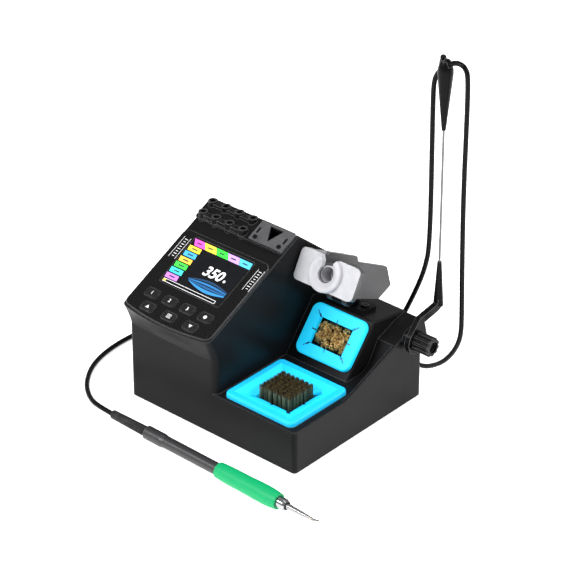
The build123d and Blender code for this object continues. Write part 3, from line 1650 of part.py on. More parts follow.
# Cable from the plug's boot over the arm's clip and round the case to the iron
cable_points = []
for anchor, steps in (
    (boot_end, cable_from_boot),
    (arm_foot, cable_up_the_arm),
    (clip_top, cable_over_the_clip),
    (arm_foot, cable_down_behind),
    (case_corner, cable_round_the_case),
    (handle_start, cable_to_the_tail),
):
    cable_points += [anchor + Vector(*step) for step in steps]
corner_radii = []
for before, corner, after in zip(cable_points, cable_points[1:], cable_points[2:]):
    into = corner - before
    away = after - corner
    half_turn = radians(into.get_angle(away) / 2)
    corner_radii.append(cable_ease * min(into.length, away.length) / tan(half_turn))
print("cable radii", [round(radius, 1) for radius in corner_radii])
with BuildPart() as cable:
    with BuildLine() as cable_route:
        FilletPolyline(*cable_points, radius=corner_radii)
    with BuildSketch(Plane(origin=cable_points[0], z_dir=(0, 1, 0))):
        Circle(cable_radius)
    sweep(path=cable_route.wires()[0])
cable_length = cable_route.wires()[0].length
cable_tube_length = cable.part.volume / (pi * cable_radius**2)
print("cable length", round(cable_length, 1), "volume over section", round(cable_tube_length, 1))
cable.part.label = "cable"
export_step(cable.part, "parts/cable.step")
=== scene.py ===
# %% [markdown]
# This lesson dresses a soldering station that was drawn in CAD: a case with a leaning display,
# a deck with two cleaning inserts, a holder, an arm for the cable and the iron itself. The solids
# come in as a fixed frame, in metres, and every piece that is made here rides on one of its bodies.
# Four short functions turn data, bmesh forms, curves and modifiers into plain objects and meshes.

# %% Load the solids
import json
import math

import bmesh
import bpy
from mathutils import Matrix, Vector


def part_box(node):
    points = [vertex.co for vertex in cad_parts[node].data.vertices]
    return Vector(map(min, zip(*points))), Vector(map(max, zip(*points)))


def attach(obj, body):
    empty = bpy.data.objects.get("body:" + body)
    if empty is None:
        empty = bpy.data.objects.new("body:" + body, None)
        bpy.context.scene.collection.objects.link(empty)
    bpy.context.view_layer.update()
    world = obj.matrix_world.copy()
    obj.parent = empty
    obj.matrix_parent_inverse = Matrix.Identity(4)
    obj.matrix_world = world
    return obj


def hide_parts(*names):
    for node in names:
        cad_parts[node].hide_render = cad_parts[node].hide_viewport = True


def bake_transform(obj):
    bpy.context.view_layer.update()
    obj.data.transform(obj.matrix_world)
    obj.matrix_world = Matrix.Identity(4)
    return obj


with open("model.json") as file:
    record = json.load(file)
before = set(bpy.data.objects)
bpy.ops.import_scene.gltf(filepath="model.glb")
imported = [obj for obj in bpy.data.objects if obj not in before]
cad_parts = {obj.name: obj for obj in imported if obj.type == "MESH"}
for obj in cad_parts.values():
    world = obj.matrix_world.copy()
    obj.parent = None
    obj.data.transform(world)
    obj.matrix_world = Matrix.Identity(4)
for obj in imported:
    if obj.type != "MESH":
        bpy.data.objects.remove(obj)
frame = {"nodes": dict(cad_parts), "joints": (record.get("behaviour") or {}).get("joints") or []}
solids = frame["nodes"]
joint_axes = {joint["name"]: Vector(joint["axis"]) for joint in frame["joints"]}
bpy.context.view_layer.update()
mm = 0.001


def linked(name, data):
    """A new object with this data, in the scene."""
    made = bpy.data.objects.new(name, data)
    bpy.context.scene.collection.objects.link(made)
    return made


def scene_object(name, shape):
    """An object with the mesh that bmesh has made."""
    mesh = bpy.data.meshes.new(name)
    shape.to_mesh(mesh)
    shape.free()
    return linked(name, mesh)


def curve_mesh(curve):
    """The mesh of a curve, with the curve itself taken away."""
    guide = linked(curve.name, curve)
    mesh = bpy.data.meshes.new_from_object(guide)
    bpy.data.objects.remove(guide)
    bpy.data.curves.remove(curve)
    return mesh


def applied(piece):
    """A plain mesh of a piece as its modifiers leave it, with the modifiers taken off."""
    evaluated = piece.evaluated_get(bpy.context.evaluated_depsgraph_get())
    mesh = bpy.data.meshes.new_from_object(evaluated)
    piece.modifiers.clear()
    return mesh


# %% [markdown]
# The camera is a long lens a little above and to the right of the front, as for a catalogue picture.
# It keeps the sides of the case almost parallel. Its place was worked out from the edges of the
# case, and it aims at the point that lies in the middle of the picture.

# %% Camera
camera_data = bpy.data.cameras.new("catalogue_camera")
camera_data.lens = 175.0
camera_data.sensor_width = 36.0
camera_data.clip_end = 20.0
camera = linked("catalogue_camera", camera_data)
camera.location = (1.0287, -1.1716, 1.0249)
aim = Vector((-0.04773, 0.04934, 0.06))
camera.rotation_euler = (aim - camera.location).to_track_quat("-Z", "Y").to_euler()
bpy.context.scene.camera = camera
print("camera stands", round((aim - camera.location).length, 3), "m from its aim")


# %% [markdown]
# The light is that of a white studio: a grey surround, a soft box in front, one above, and two narrow
# strips that draw pale lines along the edges of the black plastic. Black parts mirror what is round
# them, so the surround stays dimmer than the floor, which glows by itself as a light table does and
# leaves almost no shadow. Standard colour keeps the white floor white.

# %% Light and floor
def soft_box(name, place, target, width, height, power):
    """A rectangular studio light that points at a target."""
    lamp = bpy.data.lights.new(name, "AREA")
    lamp.shape = "RECTANGLE"
    lamp.size = width
    lamp.size_y = height
    lamp.energy = power
    stand = linked(name, lamp)
    stand.location = place
    stand.rotation_euler = (Vector(target) - Vector(place)).to_track_quat("-Z", "Y").to_euler()


station_middle = (0.0, 0.0, 0.06)
for name, place, width, height, power in (
    ("key_box", (-0.45, -1.35, 1.15), 0.6, 0.6, 22.0),
    ("rim_strip", (1.0, 0.58, 0.98), 1.0, 0.12, 14.0),
    ("front_strip", (-1.0, -1.0, 1.0), 0.6, 0.12, 6.0),
    ("top_box", (0.1, 0.1, 1.7), 0.6, 0.4, 9.0),
):
    soft_box(name, place, station_middle, width, height, power)
studio = bpy.data.worlds.new("white_studio")
studio.use_nodes = True
surround = studio.node_tree.nodes["Background"]
surround.inputs["Color"].default_value = (1.0, 1.0, 1.0, 1.0)
surround.inputs["Strength"].default_value = 0.42
bpy.context.scene.world = studio
bpy.context.scene.view_settings.view_transform = "Standard"

floor_reach = 6.0
floor_gap = 0.2 * mm
floor_corners = [(x * floor_reach, y * floor_reach, 0.0) for x, y in ((-1, -1), (1, -1), (1, 1), (-1, 1))]
floor_mesh = bpy.data.meshes.new("studio_floor")
floor_mesh.from_pydata(floor_corners, [], [(0, 1, 2, 3)])
floor = linked("studio_floor", floor_mesh)
floor.location.z = -floor_gap


# %% [markdown]
# Both materials and Geometry Nodes are trees of nodes, so one small class serves both. It wraps a
# socket, and the usual operators on it add Math nodes: a mask then reads like the formula that it
# is. Every other node comes from one method, which sets the node's own settings first and then
# fills its open sockets in order or by name.

# %% Classes for node trees
class Value:
    """What a node gives: a number, colour, vector or shape, with operators that add Math nodes."""

    def __init__(self, owner, socket):
        self.owner = owner
        self.socket = socket

    def maths(self, operation, *others):
        return self.owner.node("ShaderNodeMath", {"operation": operation}, 0, self, *others)

    def __add__(self, other):
        return self.maths("ADD", other)

    def __sub__(self, other):
        return self.maths("SUBTRACT", other)

    def __rsub__(self, other):
        return self.owner.node("ShaderNodeMath", {"operation": "SUBTRACT"}, 0, other, self)

    def __mul__(self, other):
        return self.maths("MULTIPLY", other)

    def __truediv__(self, other):
        return self.maths("DIVIDE", other)

    def __pow__(self, other):
        return self.maths("POWER", other)

    __radd__ = __add__
    __rmul__ = __mul__


class Tree:
    """A node tree, and the one method that adds a node to it."""

    def __init__(self, tree):
        self.tree = tree

    def node(self, kind, settings=None, output=0, *ordered, **named):
        """Adds a node, sets its settings, fills its open sockets in order and by name."""
        made = self.tree.nodes.new(kind)
        for label, setting in (settings or {}).items():
            if label == "stops":
                self.set_stops(made.color_ramp, setting)
            else:
                setattr(made, label, setting)
        sockets = [socket for socket in made.inputs if socket.enabled]
        places = {socket.name.replace(" ", "_"): socket for socket in reversed(sockets)}
        pairs = list(zip(sockets, ordered)) + [(places[label], given) for label, given in named.items()]
        for socket, given in pairs:
            links = given if isinstance(given, list) else [given]
            if isinstance(links[0], Value):
                for link in links:
                    self.tree.links.new(link.socket, socket)
            elif given is not None:
                socket.default_value = given
        results = [socket for socket in made.outputs if socket.enabled]
        if isinstance(output, str):
            results = [socket for socket in results if socket.name == output]
            output = 0
        return Value(self, results[output])

    def set_stops(self, ramp, stops):
        """A colour ramp's stops, as (place, colour) pairs."""
        while len(ramp.elements) < len(stops):
            ramp.elements.new(1.0)
        for element, (place, colour) in zip(ramp.elements, stops):
            element.position = place
            element.color = colour


class Finish(Tree):
    """One procedural material: a Principled shader with fixed sockets, and nodes that feed it."""

    def __init__(self, name, **fixed):
        self.material = bpy.data.materials.new(name)
        self.material.use_nodes = True
        super().__init__(self.material.node_tree)
        self.shader = self.tree.nodes["Principled BSDF"]
        for label, number in fixed.items():
            self.shader.inputs[label.replace("_", " ")].default_value = number

    def place(self):
        """Where a point lies, in metres in the frame of the whole object."""
        return self.node("ShaderNodeTexCoord", None, "Object")

    def along(self, direction):
        """How far a point lies along one direction of the frame, in metres."""
        settings = {"operation": "DOT_PRODUCT"}
        return self.node("ShaderNodeVectorMath", settings, "Value", self.place(), tuple(direction))

    def noise(self, size, detail=2.0, stretch=(1.0, 1.0, 1.0)):
        """A cloudy number from 0 to 1 whose blotches are about size metres across."""
        where = self.node("ShaderNodeMapping", None, 0, self.place(), Scale=stretch)
        return self.node("ShaderNodeTexNoise", None, 0, where, Scale=1.0 / size, Detail=detail)

    def ramp(self, number, *stops):
        """A colour from a number, by stops of place and colour."""
        return self.node("ShaderNodeValToRGB", {"stops": stops}, 0, number)

    def step(self, number, low, high):
        """A number that goes from 0 at low to 1 at high."""
        return self.node("ShaderNodeMapRange", {"clamp": True}, 0, number, low, high)

    def blend(self, mask, low, high):
        """A colour between two others."""
        return self.node("ShaderNodeMix", {"data_type": "RGBA"}, 0, mask, low, high)

    def edges(self, radius):
        """A number that is 0 on flats and rises to 1 along the edges, as far as radius from them."""
        rounded = self.node("ShaderNodeBevel", {"samples": 4}, 0, Radius=radius)
        plain = self.node("ShaderNodeNewGeometry", None, "Normal")
        settings = {"operation": "DOT_PRODUCT"}
        likeness = self.node("ShaderNodeVectorMath", settings, "Value", rounded, plain)
        # Where the edge mask is full, the edges are painted pale, as wear and as painted highlight
        flat, edge_full = 0.998, 0.9
        return self.step(likeness, flat, edge_full)

    def bump(self, height, strength, distance):
        """A normal that is tilted by a height map."""
        return self.node("ShaderNodeBump", None, 0, Strength=strength, Distance=distance, Height=height)

    def feed(self, **links):
        """Joins values to the shader's sockets, and gives the finished material."""
        for label, value in links.items():
            self.tree.links.new(value.socket, self.shader.inputs[label.replace("_", " ")])
        return self.material


class Recipe(Tree):
    """One Geometry Nodes tree with named inputs, whose result becomes a plain mesh."""

    def __init__(self, name, **sizes):
        super().__init__(bpy.data.node_groups.new(name, "GeometryNodeTree"))
        self.tree.interface.new_socket("Geometry", in_out="OUTPUT", socket_type="NodeSocketGeometry")
        self.sizes = {}
        for label, number in sizes.items():
            kind = "NodeSocketInt" if isinstance(number, int) else "NodeSocketFloat"
            words = label.replace("_", " ")
            socket = self.tree.interface.new_socket(words, in_out="INPUT", socket_type=kind)
            self.sizes[socket.identifier] = number
        self.inputs = self.tree.nodes.new("NodeGroupInput")
        self.result = self.tree.nodes.new("NodeGroupOutput")

    def __getitem__(self, words):
        """One of the named inputs."""
        return Value(self, self.inputs.outputs[words])

    def shape(self, kind, *ordered, **named):
        """A node of Geometry Nodes with no settings of its own."""
        return self.node("GeometryNode" + kind, None, 0, *ordered, **named)

    def vector(self, x, y, z):
        return self.node("ShaderNodeCombineXYZ", None, 0, x, y, z)

    def vector_maths(self, operation, *given):
        return self.node("ShaderNodeVectorMath", {"operation": operation}, 0, *given)

    def random(self, low, high, salt=0):
        """A random number or vector for each point, from the tree's seed."""
        kind = "FLOAT_VECTOR" if isinstance(low, tuple) else "FLOAT"
        seed = self["Seed"] + salt
        return self.node("FunctionNodeRandomValue", {"data_type": kind}, 0, low, high, None, seed)

    def bake(self, name, form, material):
        """Ends the tree, sets its inputs, and leaves the result as the plain mesh of one object."""
        whole = self.shape("RealizeInstances", form)
        painted = self.shape("SetMaterial", whole, Material=material)
        self.tree.links.new(painted.socket, self.result.inputs[0])
        piece = linked(name, bpy.data.meshes.new(name))
        modifier = piece.modifiers.new(name, "NODES")
        modifier.node_group = self.tree
        for identifier, number in self.sizes.items():
            modifier[identifier] = number
        piece.data = applied(piece)
        piece.data.name = name
        print(name, len(piece.data.polygons), "faces")
        return piece


dressed = set()


def dress(material, *nodes):
    """Gives a material to solids of the frame."""
    dressed.update(nodes)
    for node in nodes:
        mesh = solids[node].data
        mesh.materials.clear()
        mesh.materials.append(material)


def srgb(red, green, blue):
    """A linear colour from the three bytes of a screen colour."""
    def linear(byte):
        share = byte / 255
        return share / 12.92 if share <= 0.04045 else ((share + 0.055) / 1.055) ** 2.4

    return linear(red), linear(green), linear(blue), 1.0


def outermost(node, out):
    """The points of a solid that reach farthest along a direction."""
    places = [vertex.co for vertex in solids[node].data.vertices]
    reach = max(place.dot(out) for place in places)
    tolerance = 0.02 * mm
    return [place for place in places if reach - place.dot(out) < tolerance]


def face_centre(node, out):
    """The middle of a solid's outermost face along a direction."""
    face = outermost(node, out)
    return sum(face, Vector()) / len(face)


white = (1.0, 1.0, 1.0, 1.0)
floor_finish = Finish(
    "floor_white",
    Base_Color=white,
    Roughness=0.8,
    Specular_IOR_Level=0.0,
    Emission_Color=white,
    Emission_Strength=0.62,
)
floor_mesh.materials.append(floor_finish.material)
print("first finish", floor_finish.material.name)


# %% [markdown]
# The cable comes first of the pieces, because it takes the most room. On the real station it is a
# limp lead from the back of the case, over the clip of the arm, round the left side and into the
# iron. Each stretch of its route is measured from the piece that it follows. The line is one NURBS
# spline with those points as control points, and the tube is swept along points read from it.
# The same sweep through rings serves the turned pieces further down.

# %% Cable
boot_low, boot_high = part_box("plug_boot")
rod_low, rod_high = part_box("arm_rod")
clip_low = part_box("arm_clip")[0]
case_low, case_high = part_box("upper_housing")
boot_end = Vector(((boot_low.x + boot_high.x) / 2, boot_high.y, (boot_low.z + boot_high.z) / 2))
arm_foot = Vector(((rod_low.x + rod_high.x) / 2, (rod_low.y + rod_high.y) / 2, 0.0))
clip_flare = 39.4 * mm
clip_top = Vector((arm_foot.x, arm_foot.y, clip_low.z + clip_flare))
case_corner = Vector((case_low.x, case_high.y, 0.0))
iron_tail = Vector((-88.8, -80.2, 4.3)) * mm
cable_width = 3.4 * mm
cable_sides = 16
cable_stretches_mm = (
    (boot_end, (
        (0.0, 0.0, 0.0), (0.0, 9.0, -0.4), (3.5, 18.5, -5.5), (12.0, 24.0, -14.5),
        (25.0, 20.5, -23.5), (41.0, 9.5, -26.2), (54.0, 1.0, -25.6),
    )),
    (arm_foot, (
        (-21.9, 13.0, 5.8), (-12.4, 11.0, 11.1), (-2.4, 9.0, 18.9), (5.6, 7.5, 28.2),
        (12.1, 6.0, 38.8), (15.8, 5.0, 49.0), (16.9, 4.2, 61.0), (17.0, 2.2, 106.0), (17.4, 0.4, 160.0),
    )),
    (clip_top, (
        (18.3, 0.0, -20.0), (18.1, 0.0, 2.0), (16.7, 0.0, 8.4), (12.3, 0.0, 11.2), (6.8, 0.0, 10.4),
        (-0.2, 0.0, 6.0), (-6.6, 0.0, -0.9), (-9.3, 0.0, -8.5), (-9.3, 0.0, -30.0),
    )),
    (arm_foot, (
        (-8.3, 0.0, 112.0), (-12.4, 0.3, 92.0), (-18.9, 0.6, 74.3), (-28.5, 1.2, 53.0),
        (-37.0, 2.8, 36.0), (-47.0, 4.8, 20.5), (-61.0, 8.0, 8.5), (-79.0, 12.5, 3.0),
    )),
    (case_corner, (
        (50.0, 26.6, 1.8), (20.0, 30.6, 1.8), (-9.0, 26.6, 1.8), (-33.0, 12.6, 1.8), (-47.0, -10.4, 1.8),
        (-52.0, -38.4, 1.8), (-50.5, -66.4, 1.8), (-51.5, -94.4, 1.8), (-46.0, -119.4, 1.8),
    )),
    (iron_tail, (
        (-44.2, 18.9, -2.5), (-28.7, 6.4, -2.0), (-14.2, 0.5, -0.22), (-0.06, 0.002, -0.001),
    )),
)
cable_route = [anchor + Vector(step) * mm for anchor, steps in cable_stretches_mm for step in steps]


def route_line(name, route):
    """Points along one smooth NURBS line whose control points are the route's."""
    curve = bpy.data.curves.new(name, "CURVE")
    curve.dimensions = "3D"
    spline = curve.splines.new("NURBS")
    spline.points.add(len(route) - 1)
    for point, place in zip(spline.points, route):
        point.co = (*place, 1.0)
    spline.order_u = 3
    spline.use_endpoint_u = True
    spline.resolution_u = 8
    line = curve_mesh(curve)
    places = [vertex.co.copy() for vertex in line.vertices]
    bpy.data.meshes.remove(line)
    return places


def circle(middle, across, other, radius, sides):
    """Places round a middle, in the plane of two directions."""
    turns = [math.tau * step / sides for step in range(sides)]
    return [middle + (across * math.cos(turn) + other * math.sin(turn)) * radius for turn in turns]


def swept(rings, hollow=False):
    """A closed form through rings of places, with ends, or closed on itself if it is hollow."""
    form = bmesh.new()
    loops = [[form.verts.new(place) for place in ring] for ring in rings]
    following = loops[1:] + loops[:1] if hollow else loops[1:]
    for lower, upper in zip(loops, following):
        for step in range(len(lower)):
            after = (step + 1) % len(lower)
            form.faces.new((lower[step], lower[after], upper[after], upper[step])).smooth = not hollow
    if not hollow:
        form.faces.new(list(reversed(loops[0])))
        form.faces.new(loops[-1])
    return form


def tube(name, places, radius, sides):
    """A closed tube along places, whose rings don't twist."""
    rings = []
    side = Vector((1.0, 0.0, 0.0))
    for step, place in enumerate(places):
        ahead = places[min(step + 1, len(places) - 1)] - places[max(step - 1, 0)]
        ahead.normalize()
        side = (side - ahead * side.dot(ahead)).normalized()
        rings.append(circle(place, side, ahead.cross(side), radius, sides))
    return scene_object(name, swept(rings))


def rubber(name, colour, gloss):
    """Black rubber: a soft sheen, a fine skin, and paler scuffs."""
    finish = Finish(name, Specular_IOR_Level=0.1)
    scuffs = finish.noise(4 * mm, 4.0)
    skin = finish.noise(0.5 * mm, 2.0)
    pale = tuple(share * 2.2 for share in colour[:3]) + (1.0,)
    return finish.feed(
        Base_Color=finish.blend(finish.step(scuffs, 0.45, 0.75), colour, pale),
        Roughness=scuffs * 0.22 + gloss,
        Normal=finish.bump(skin, 0.2, 0.08 * mm),
    )


cable_line = route_line("cable_line", cable_route)
cable_length = sum((after - before).length for before, after in zip(cable_line, cable_line[1:]))
cable = tube("iron_cable", cable_line, cable_width / 2, cable_sides)
cable.data.materials.append(rubber("cable_rubber", (0.002, 0.002, 0.0024, 1.0), 0.16))
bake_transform(cable)
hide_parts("cable")
print("cable line", round(cable_length, 4), "m", len(cable_line), "points")


# %% [markdown]
# The brush is a block of short stiff bristles in tufts, set in a backing slice. Hair particles would
# do, but they can't be exported, so a Geometry Nodes tree makes each strand a thin five-sided
# taper. A tuft's strands stand on a golden-angle spiral, which fills a disc evenly, and each one
# leans outwards a little from the middle of its tuft.

# %% Brush
golden_angle = math.pi * (3 - math.sqrt(5))
backing_thickness = 3.0 * mm
brush_low, brush_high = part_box("brush_bristles")
brush_size = brush_high - brush_low
brush_foot = Vector(((brush_low.x + brush_high.x) / 2, (brush_low.y + brush_high.y) / 2, brush_low.z))
brush_foot.z += backing_thickness


def bristle_fibre():
    """Brown bristle: dark at the root and dark brown again at the cut end, greyer up the strand, which is
    painted shade by height, with darker blotches painted as shade between tufts.
    """
    finish = Finish("bristle_fibre", Specular_IOR_Level=0.3)
    height = finish.step(finish.along((0, 0, 1)), brush_foot.z, brush_high.z)
    strands = finish.noise(0.5 * mm, 1.0, (1.0, 1.0, 0.03))
    # Painted shade by height: dark at the root, lighter up the strand, dark again at the cut ends
    shade = finish.ramp(
        height + (strands - 0.5) * 0.1,
        (0.2, srgb(30, 27, 17)),
        (0.6, srgb(106, 104, 78)),
        (0.88, srgb(132, 128, 98)),
        (0.95, srgb(88, 74, 46)),
    )
    # Painted shade: darker blotches stand for the shade between the tufts
    painted_gap_shade = finish.step(finish.noise(1.9 * mm, 1.0, (1.0, 1.0, 0.1)), 0.56, 0.42)
    shade = finish.blend(painted_gap_shade * 0.7, shade, srgb(34, 28, 16))
    return finish.feed(Base_Color=shade, Roughness=strands * 0.3 + 0.45)


def bristle_tufts(material):
    """The tufts on their backing slice, as one mesh."""
    recipe = Recipe(
        "bristle_tufts",
        Columns=7,
        Rows=7,
        Pitch_Across=4.0 * mm,
        Pitch_Deep=3.55 * mm,
        Strands=30,
        Tuft_Radius=1.36 * mm,
        Strand_Radius=0.2 * mm,
        Strand_Length=brush_high.z - brush_foot.z,
        Spread=0.012,
        Stray=0.01,
        Seed=4,
    )
    grid = recipe.shape(
        "MeshGrid",
        Size_X=(recipe["Columns"] - 1) * recipe["Pitch Across"],
        Size_Y=(recipe["Rows"] - 1) * recipe["Pitch Deep"],
        Vertices_X=recipe["Columns"],
        Vertices_Y=recipe["Rows"],
    )
    number = recipe.shape("InputIndex")
    reach = ((number + 0.5) / recipe["Strands"]) ** 0.5 * recipe["Tuft Radius"]
    turn = number * golden_angle
    foot = recipe.vector(reach * turn.maths("COSINE"), reach * turn.maths("SINE"), 0.0)
    tuft = recipe.shape("Points", recipe["Strands"], foot)
    kind = {"data_type": "FLOAT_VECTOR"}
    marked = recipe.node("GeometryNodeStoreNamedAttribute", kind, 0, tuft, None, "from_middle", foot)
    tufts = recipe.shape("InstanceOnPoints", grid, Instance=marked)
    feet = recipe.shape("RealizeInstances", tufts)
    away = recipe.node("GeometryNodeInputNamedAttribute", kind, 0, "from_middle")
    lean = recipe.vector_maths("SCALE", away, recipe["Spread"] / recipe["Tuft Radius"])
    drift = recipe.random((-1.0, -1.0, 0.0), (1.0, 1.0, 0.0))
    stray = recipe.vector_maths("SCALE", drift, recipe["Stray"])
    upright = recipe.vector_maths("ADD", recipe.vector_maths("ADD", lean, stray), (0.0, 0.0, 1.0))
    turned = recipe.node("FunctionNodeAlignRotationToVector", {"axis": "Z"}, 0, None, 1.0, upright)
    top = recipe.vector(0.0, 0.0, recipe["Strand Length"])
    line = recipe.shape("CurvePrimitiveLine", Start=(0.0, 0.0, 0.0), End=top)
    stepped = recipe.shape("ResampleCurve", line, Count=4)
    outline = recipe.shape("CurvePrimitiveCircle", Resolution=5, Radius=recipe["Strand Radius"])
    taper = 1 - recipe.shape("SplineParameter") * 0.25
    strand = recipe.shape("CurveToMesh", stepped, outline, taper, True)
    cut = recipe.vector(1.0, 1.0, recipe.random(0.965, 1.0, 1))
    strands = recipe.shape("InstanceOnPoints", feet, Instance=strand, Rotation=turned, Scale=cut)
    slab = recipe.shape("MeshCube", Size=(brush_size.x, brush_size.y, backing_thickness))
    sunk = recipe.shape("Transform", slab, (0.0, 0.0, -backing_thickness / 2))
    brush = recipe.shape("JoinGeometry", [strands, sunk])
    placed = recipe.shape("Transform", brush, tuple(brush_foot))
    return recipe.bake("brush_tufts", placed, material)


brush = bristle_tufts(bristle_fibre())
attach(brush, "brush_insert")
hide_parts("brush_bristles")


# %% [markdown]
# Behind the window of the upper insert lies a clump of brass turnings, the curled swarf of a lathe.
# Each curl is a short spiral ribbon. Two sets of random points carry them: small curls that
# crowd into the window, and larger ones that fill the pocket below, which show when the insert
# is pulled out. The brass is painted darker the deeper it lies, as painted shade, so the window's
# curls look bright.

# %% Brass turnings
wool_out = joint_axes["wool_pull"]
wool_slope = math.atan2(-wool_out.y, wool_out.z)
wool_frame_thickness = 3.5 * mm
wool_face = face_centre("wool_pad", wool_out) - wool_out * wool_frame_thickness


def brass_turnings():
    """Brass swarf: metal that goes from pale gold to brown tarnish from curl to curl, painted darker the
    deeper it lies as painted shade.
    """
    finish = Finish("brass_turnings", Metallic=0.4)
    tarnish = finish.noise(1.1 * mm, 2.0)
    scratches = finish.noise(0.2 * mm, 2.0)
    shade = finish.ramp(
        tarnish,
        (0.3, srgb(150, 104, 48)),
        (0.45, srgb(214, 168, 92)),
        (0.6, srgb(246, 214, 142)),
        (0.75, srgb(255, 242, 206)),
    )
    # Painted shade: the brass darkens the deeper it lies below the window's face
    lift = finish.along(wool_out) - wool_face.dot(wool_out)
    unshaded_share = finish.step(lift, -2.4 * mm, 1.0 * mm)
    deep = finish.blend(unshaded_share, srgb(38, 22, 6), shade)
    return finish.feed(Base_Color=deep, Roughness=scratches * 0.25 + 0.18)


def turnings(material):
    """The curls in the window and those in the pocket, as one mesh."""
    recipe = Recipe(
        "brass_curls",
        Window_Curls=230,
        Pocket_Curls=360,
        Curl_Radius=1.15 * mm,
        Ribbon_Width=0.72 * mm,
        Ribbon_Thickness=0.1 * mm,
        Window_Half_Width=12.0 * mm,
        Window_Half_Height=7.3 * mm,
        Pocket_Half_Width=15.2 * mm,
        Pocket_Half_Height=10.2 * mm,
        Pocket_Depth=14.5 * mm,
        Crown=2.2 * mm,
        Seed=11,
    )
    ribbon = recipe.shape(
        "CurvePrimitiveQuadrilateral", Width=recipe["Ribbon Thickness"], Height=recipe["Ribbon Width"]
    )
    sets = []
    for label, curl_size, lowest, highest, salt in (
        ("Window", 1.0, recipe["Crown"] - 4.5 * mm, recipe["Crown"], 0),
        ("Pocket", 2.1, 0 - recipe["Pocket Depth"], -2.6 * mm, 10),
    ):
        spot = recipe.random((-1.0, -1.0, 0.0), (1.0, 1.0, 1.0), salt)
        x, y, z = [recipe.node("ShaderNodeSeparateXYZ", None, axis, spot) for axis in ("X", "Y", "Z")]
        sag = (x**2 + y**2) * 0.5 * mm
        place = recipe.vector(
            x * recipe[f"{label} Half Width"],
            y * recipe[f"{label} Half Height"],
            lowest + z * (highest - lowest) - sag,
        )
        points = recipe.shape("Points", recipe[f"{label} Curls"], place)
        spiral = recipe.shape(
            "CurveSpiral",
            Resolution=9,
            Rotations=1.7,
            Start_Radius=recipe["Curl Radius"] * (0.75 * curl_size),
            End_Radius=recipe["Curl Radius"] * (1.15 * curl_size),
            Height=recipe["Curl Radius"] * (1.5 * curl_size),
            Reverse=False,
        )
        curl = recipe.shape("CurveToMesh", spiral, ribbon, 1.0, True)
        turn = recipe.random((0.0, 0.0, 0.0), (math.tau, math.tau, math.tau), salt + 1)
        turned = recipe.node("FunctionNodeEulerToRotation", None, 0, turn)
        grown = recipe.random(0.65, 1.2, salt + 2)
        scale = recipe.vector(grown, grown, grown)
        sets.append(recipe.shape("InstanceOnPoints", points, Instance=curl, Rotation=turned, Scale=scale))
    clump = recipe.shape("JoinGeometry", sets)
    placed = recipe.shape("Transform", clump, tuple(wool_face), (wool_slope, 0.0, 0.0))
    smooth = recipe.shape("SetShadeSmooth", placed)
    return recipe.bake("brass_curls", smooth, material)


wool = turnings(brass_turnings())
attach(wool, "wool_insert")
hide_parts("brass_wool")


# %% [markdown]
# Screws are small, but a bare disc looks wrong at once. One tree makes a pan-head screw with a cross
# recess and sets it at each place of a row. The recess is a Boolean cut, which is safe on so
# simple a form, and the places come from the solids that the screws replace.

# %% Screws
def plated_steel(name, dark, pale):
    """Zinc-plated steel: grey or black, with the fine lines of a turned head worn over."""
    finish = Finish(name, Metallic=1.0)
    stains = finish.noise(1.5 * mm, 3.0)
    lines = finish.noise(0.15 * mm, 2.0, (1.0, 0.1, 1.0))
    return finish.feed(
        Base_Color=finish.blend(stains, (dark, dark, dark, 1.0), (pale, pale, pale, 1.0)),
        Roughness=stains * 0.15 + lines * 0.1 + 0.22,
        Normal=finish.bump(lines, 0.15, 0.03 * mm),
    )


def cross_screws(name, material, head_tops, out, head_radius, head_height, shank_radius, shank_length):
    """A row of cross-recessed screws whose heads end at given places."""
    recipe = Recipe(
        name,
        Head_Radius=head_radius,
        Head_Height=head_height,
        Shank_Radius=shank_radius,
        Shank_Length=shank_length,
    )
    radius, height, length = recipe["Head Radius"], recipe["Head Height"], recipe["Shank Length"]
    head = recipe.shape("MeshCylinder", Vertices=28, Radius=radius, Depth=height)
    head = recipe.shape("Transform", head, recipe.vector(0.0, 0.0, height * -0.5))
    arm = recipe.shape("MeshCube", Size=recipe.vector(radius * 1.25, radius * 0.28, height * 1.4))
    across = recipe.shape("Transform", arm, None, (0.0, 0.0, math.pi / 2))
    cut = recipe.node("GeometryNodeMeshBoolean", {"operation": "DIFFERENCE"}, 0, head, [arm])
    cut = recipe.node("GeometryNodeMeshBoolean", {"operation": "DIFFERENCE"}, 0, cut, [across])
    shank = recipe.shape("MeshCylinder", Vertices=16, Radius=recipe["Shank Radius"], Depth=length)
    shank = recipe.shape("Transform", shank, recipe.vector(0.0, 0.0, height * -0.75 - length * 0.5))
    screw = recipe.shape("JoinGeometry", [cut, shank])
    turned = recipe.node("FunctionNodeAlignRotationToVector", {"axis": "Z"}, 0, None, 1.0, tuple(out))
    screws = []
    for top in head_tops:
        point = recipe.shape("Points", 1, tuple(top))
        screws.append(recipe.shape("InstanceOnPoints", point, Instance=screw, Rotation=turned))
    return recipe.bake(name, recipe.shape("JoinGeometry", screws), material)


def halves(points, axis):
    """Points in two groups, below and above the middle of their reach along an axis."""
    places = [point[axis] for point in points]
    middle = (min(places) + max(places)) / 2
    below = [point for point in points if point[axis] < middle]
    above = [point for point in points if point[axis] >= middle]
    return [below, above]


def head_places(node, out, count):
    """The middles of a solid's two or four screw heads, which are groups of its outermost points."""
    groups = halves(outermost(node, out), 0)
    if count == 4:
        groups = [row for column in groups for row in halves(column, 1)]
    found = []
    for group in groups:
        low = Vector([min(top[axis] for top in group) for axis in range(3)])
        high = Vector([max(top[axis] for top in group) for axis in range(3)])
        found.append((low + high) / 2)
    return found


panel_out = -joint_axes["key_one_press"]
shelf_out = Vector((0.0, 0.17365, 0.98481))
under = Vector((0.0, 0.0, -1.0))
steel = plated_steel("bright_zinc", 0.42, 0.66)
black_steel = plated_steel("black_zinc", 0.02, 0.05)
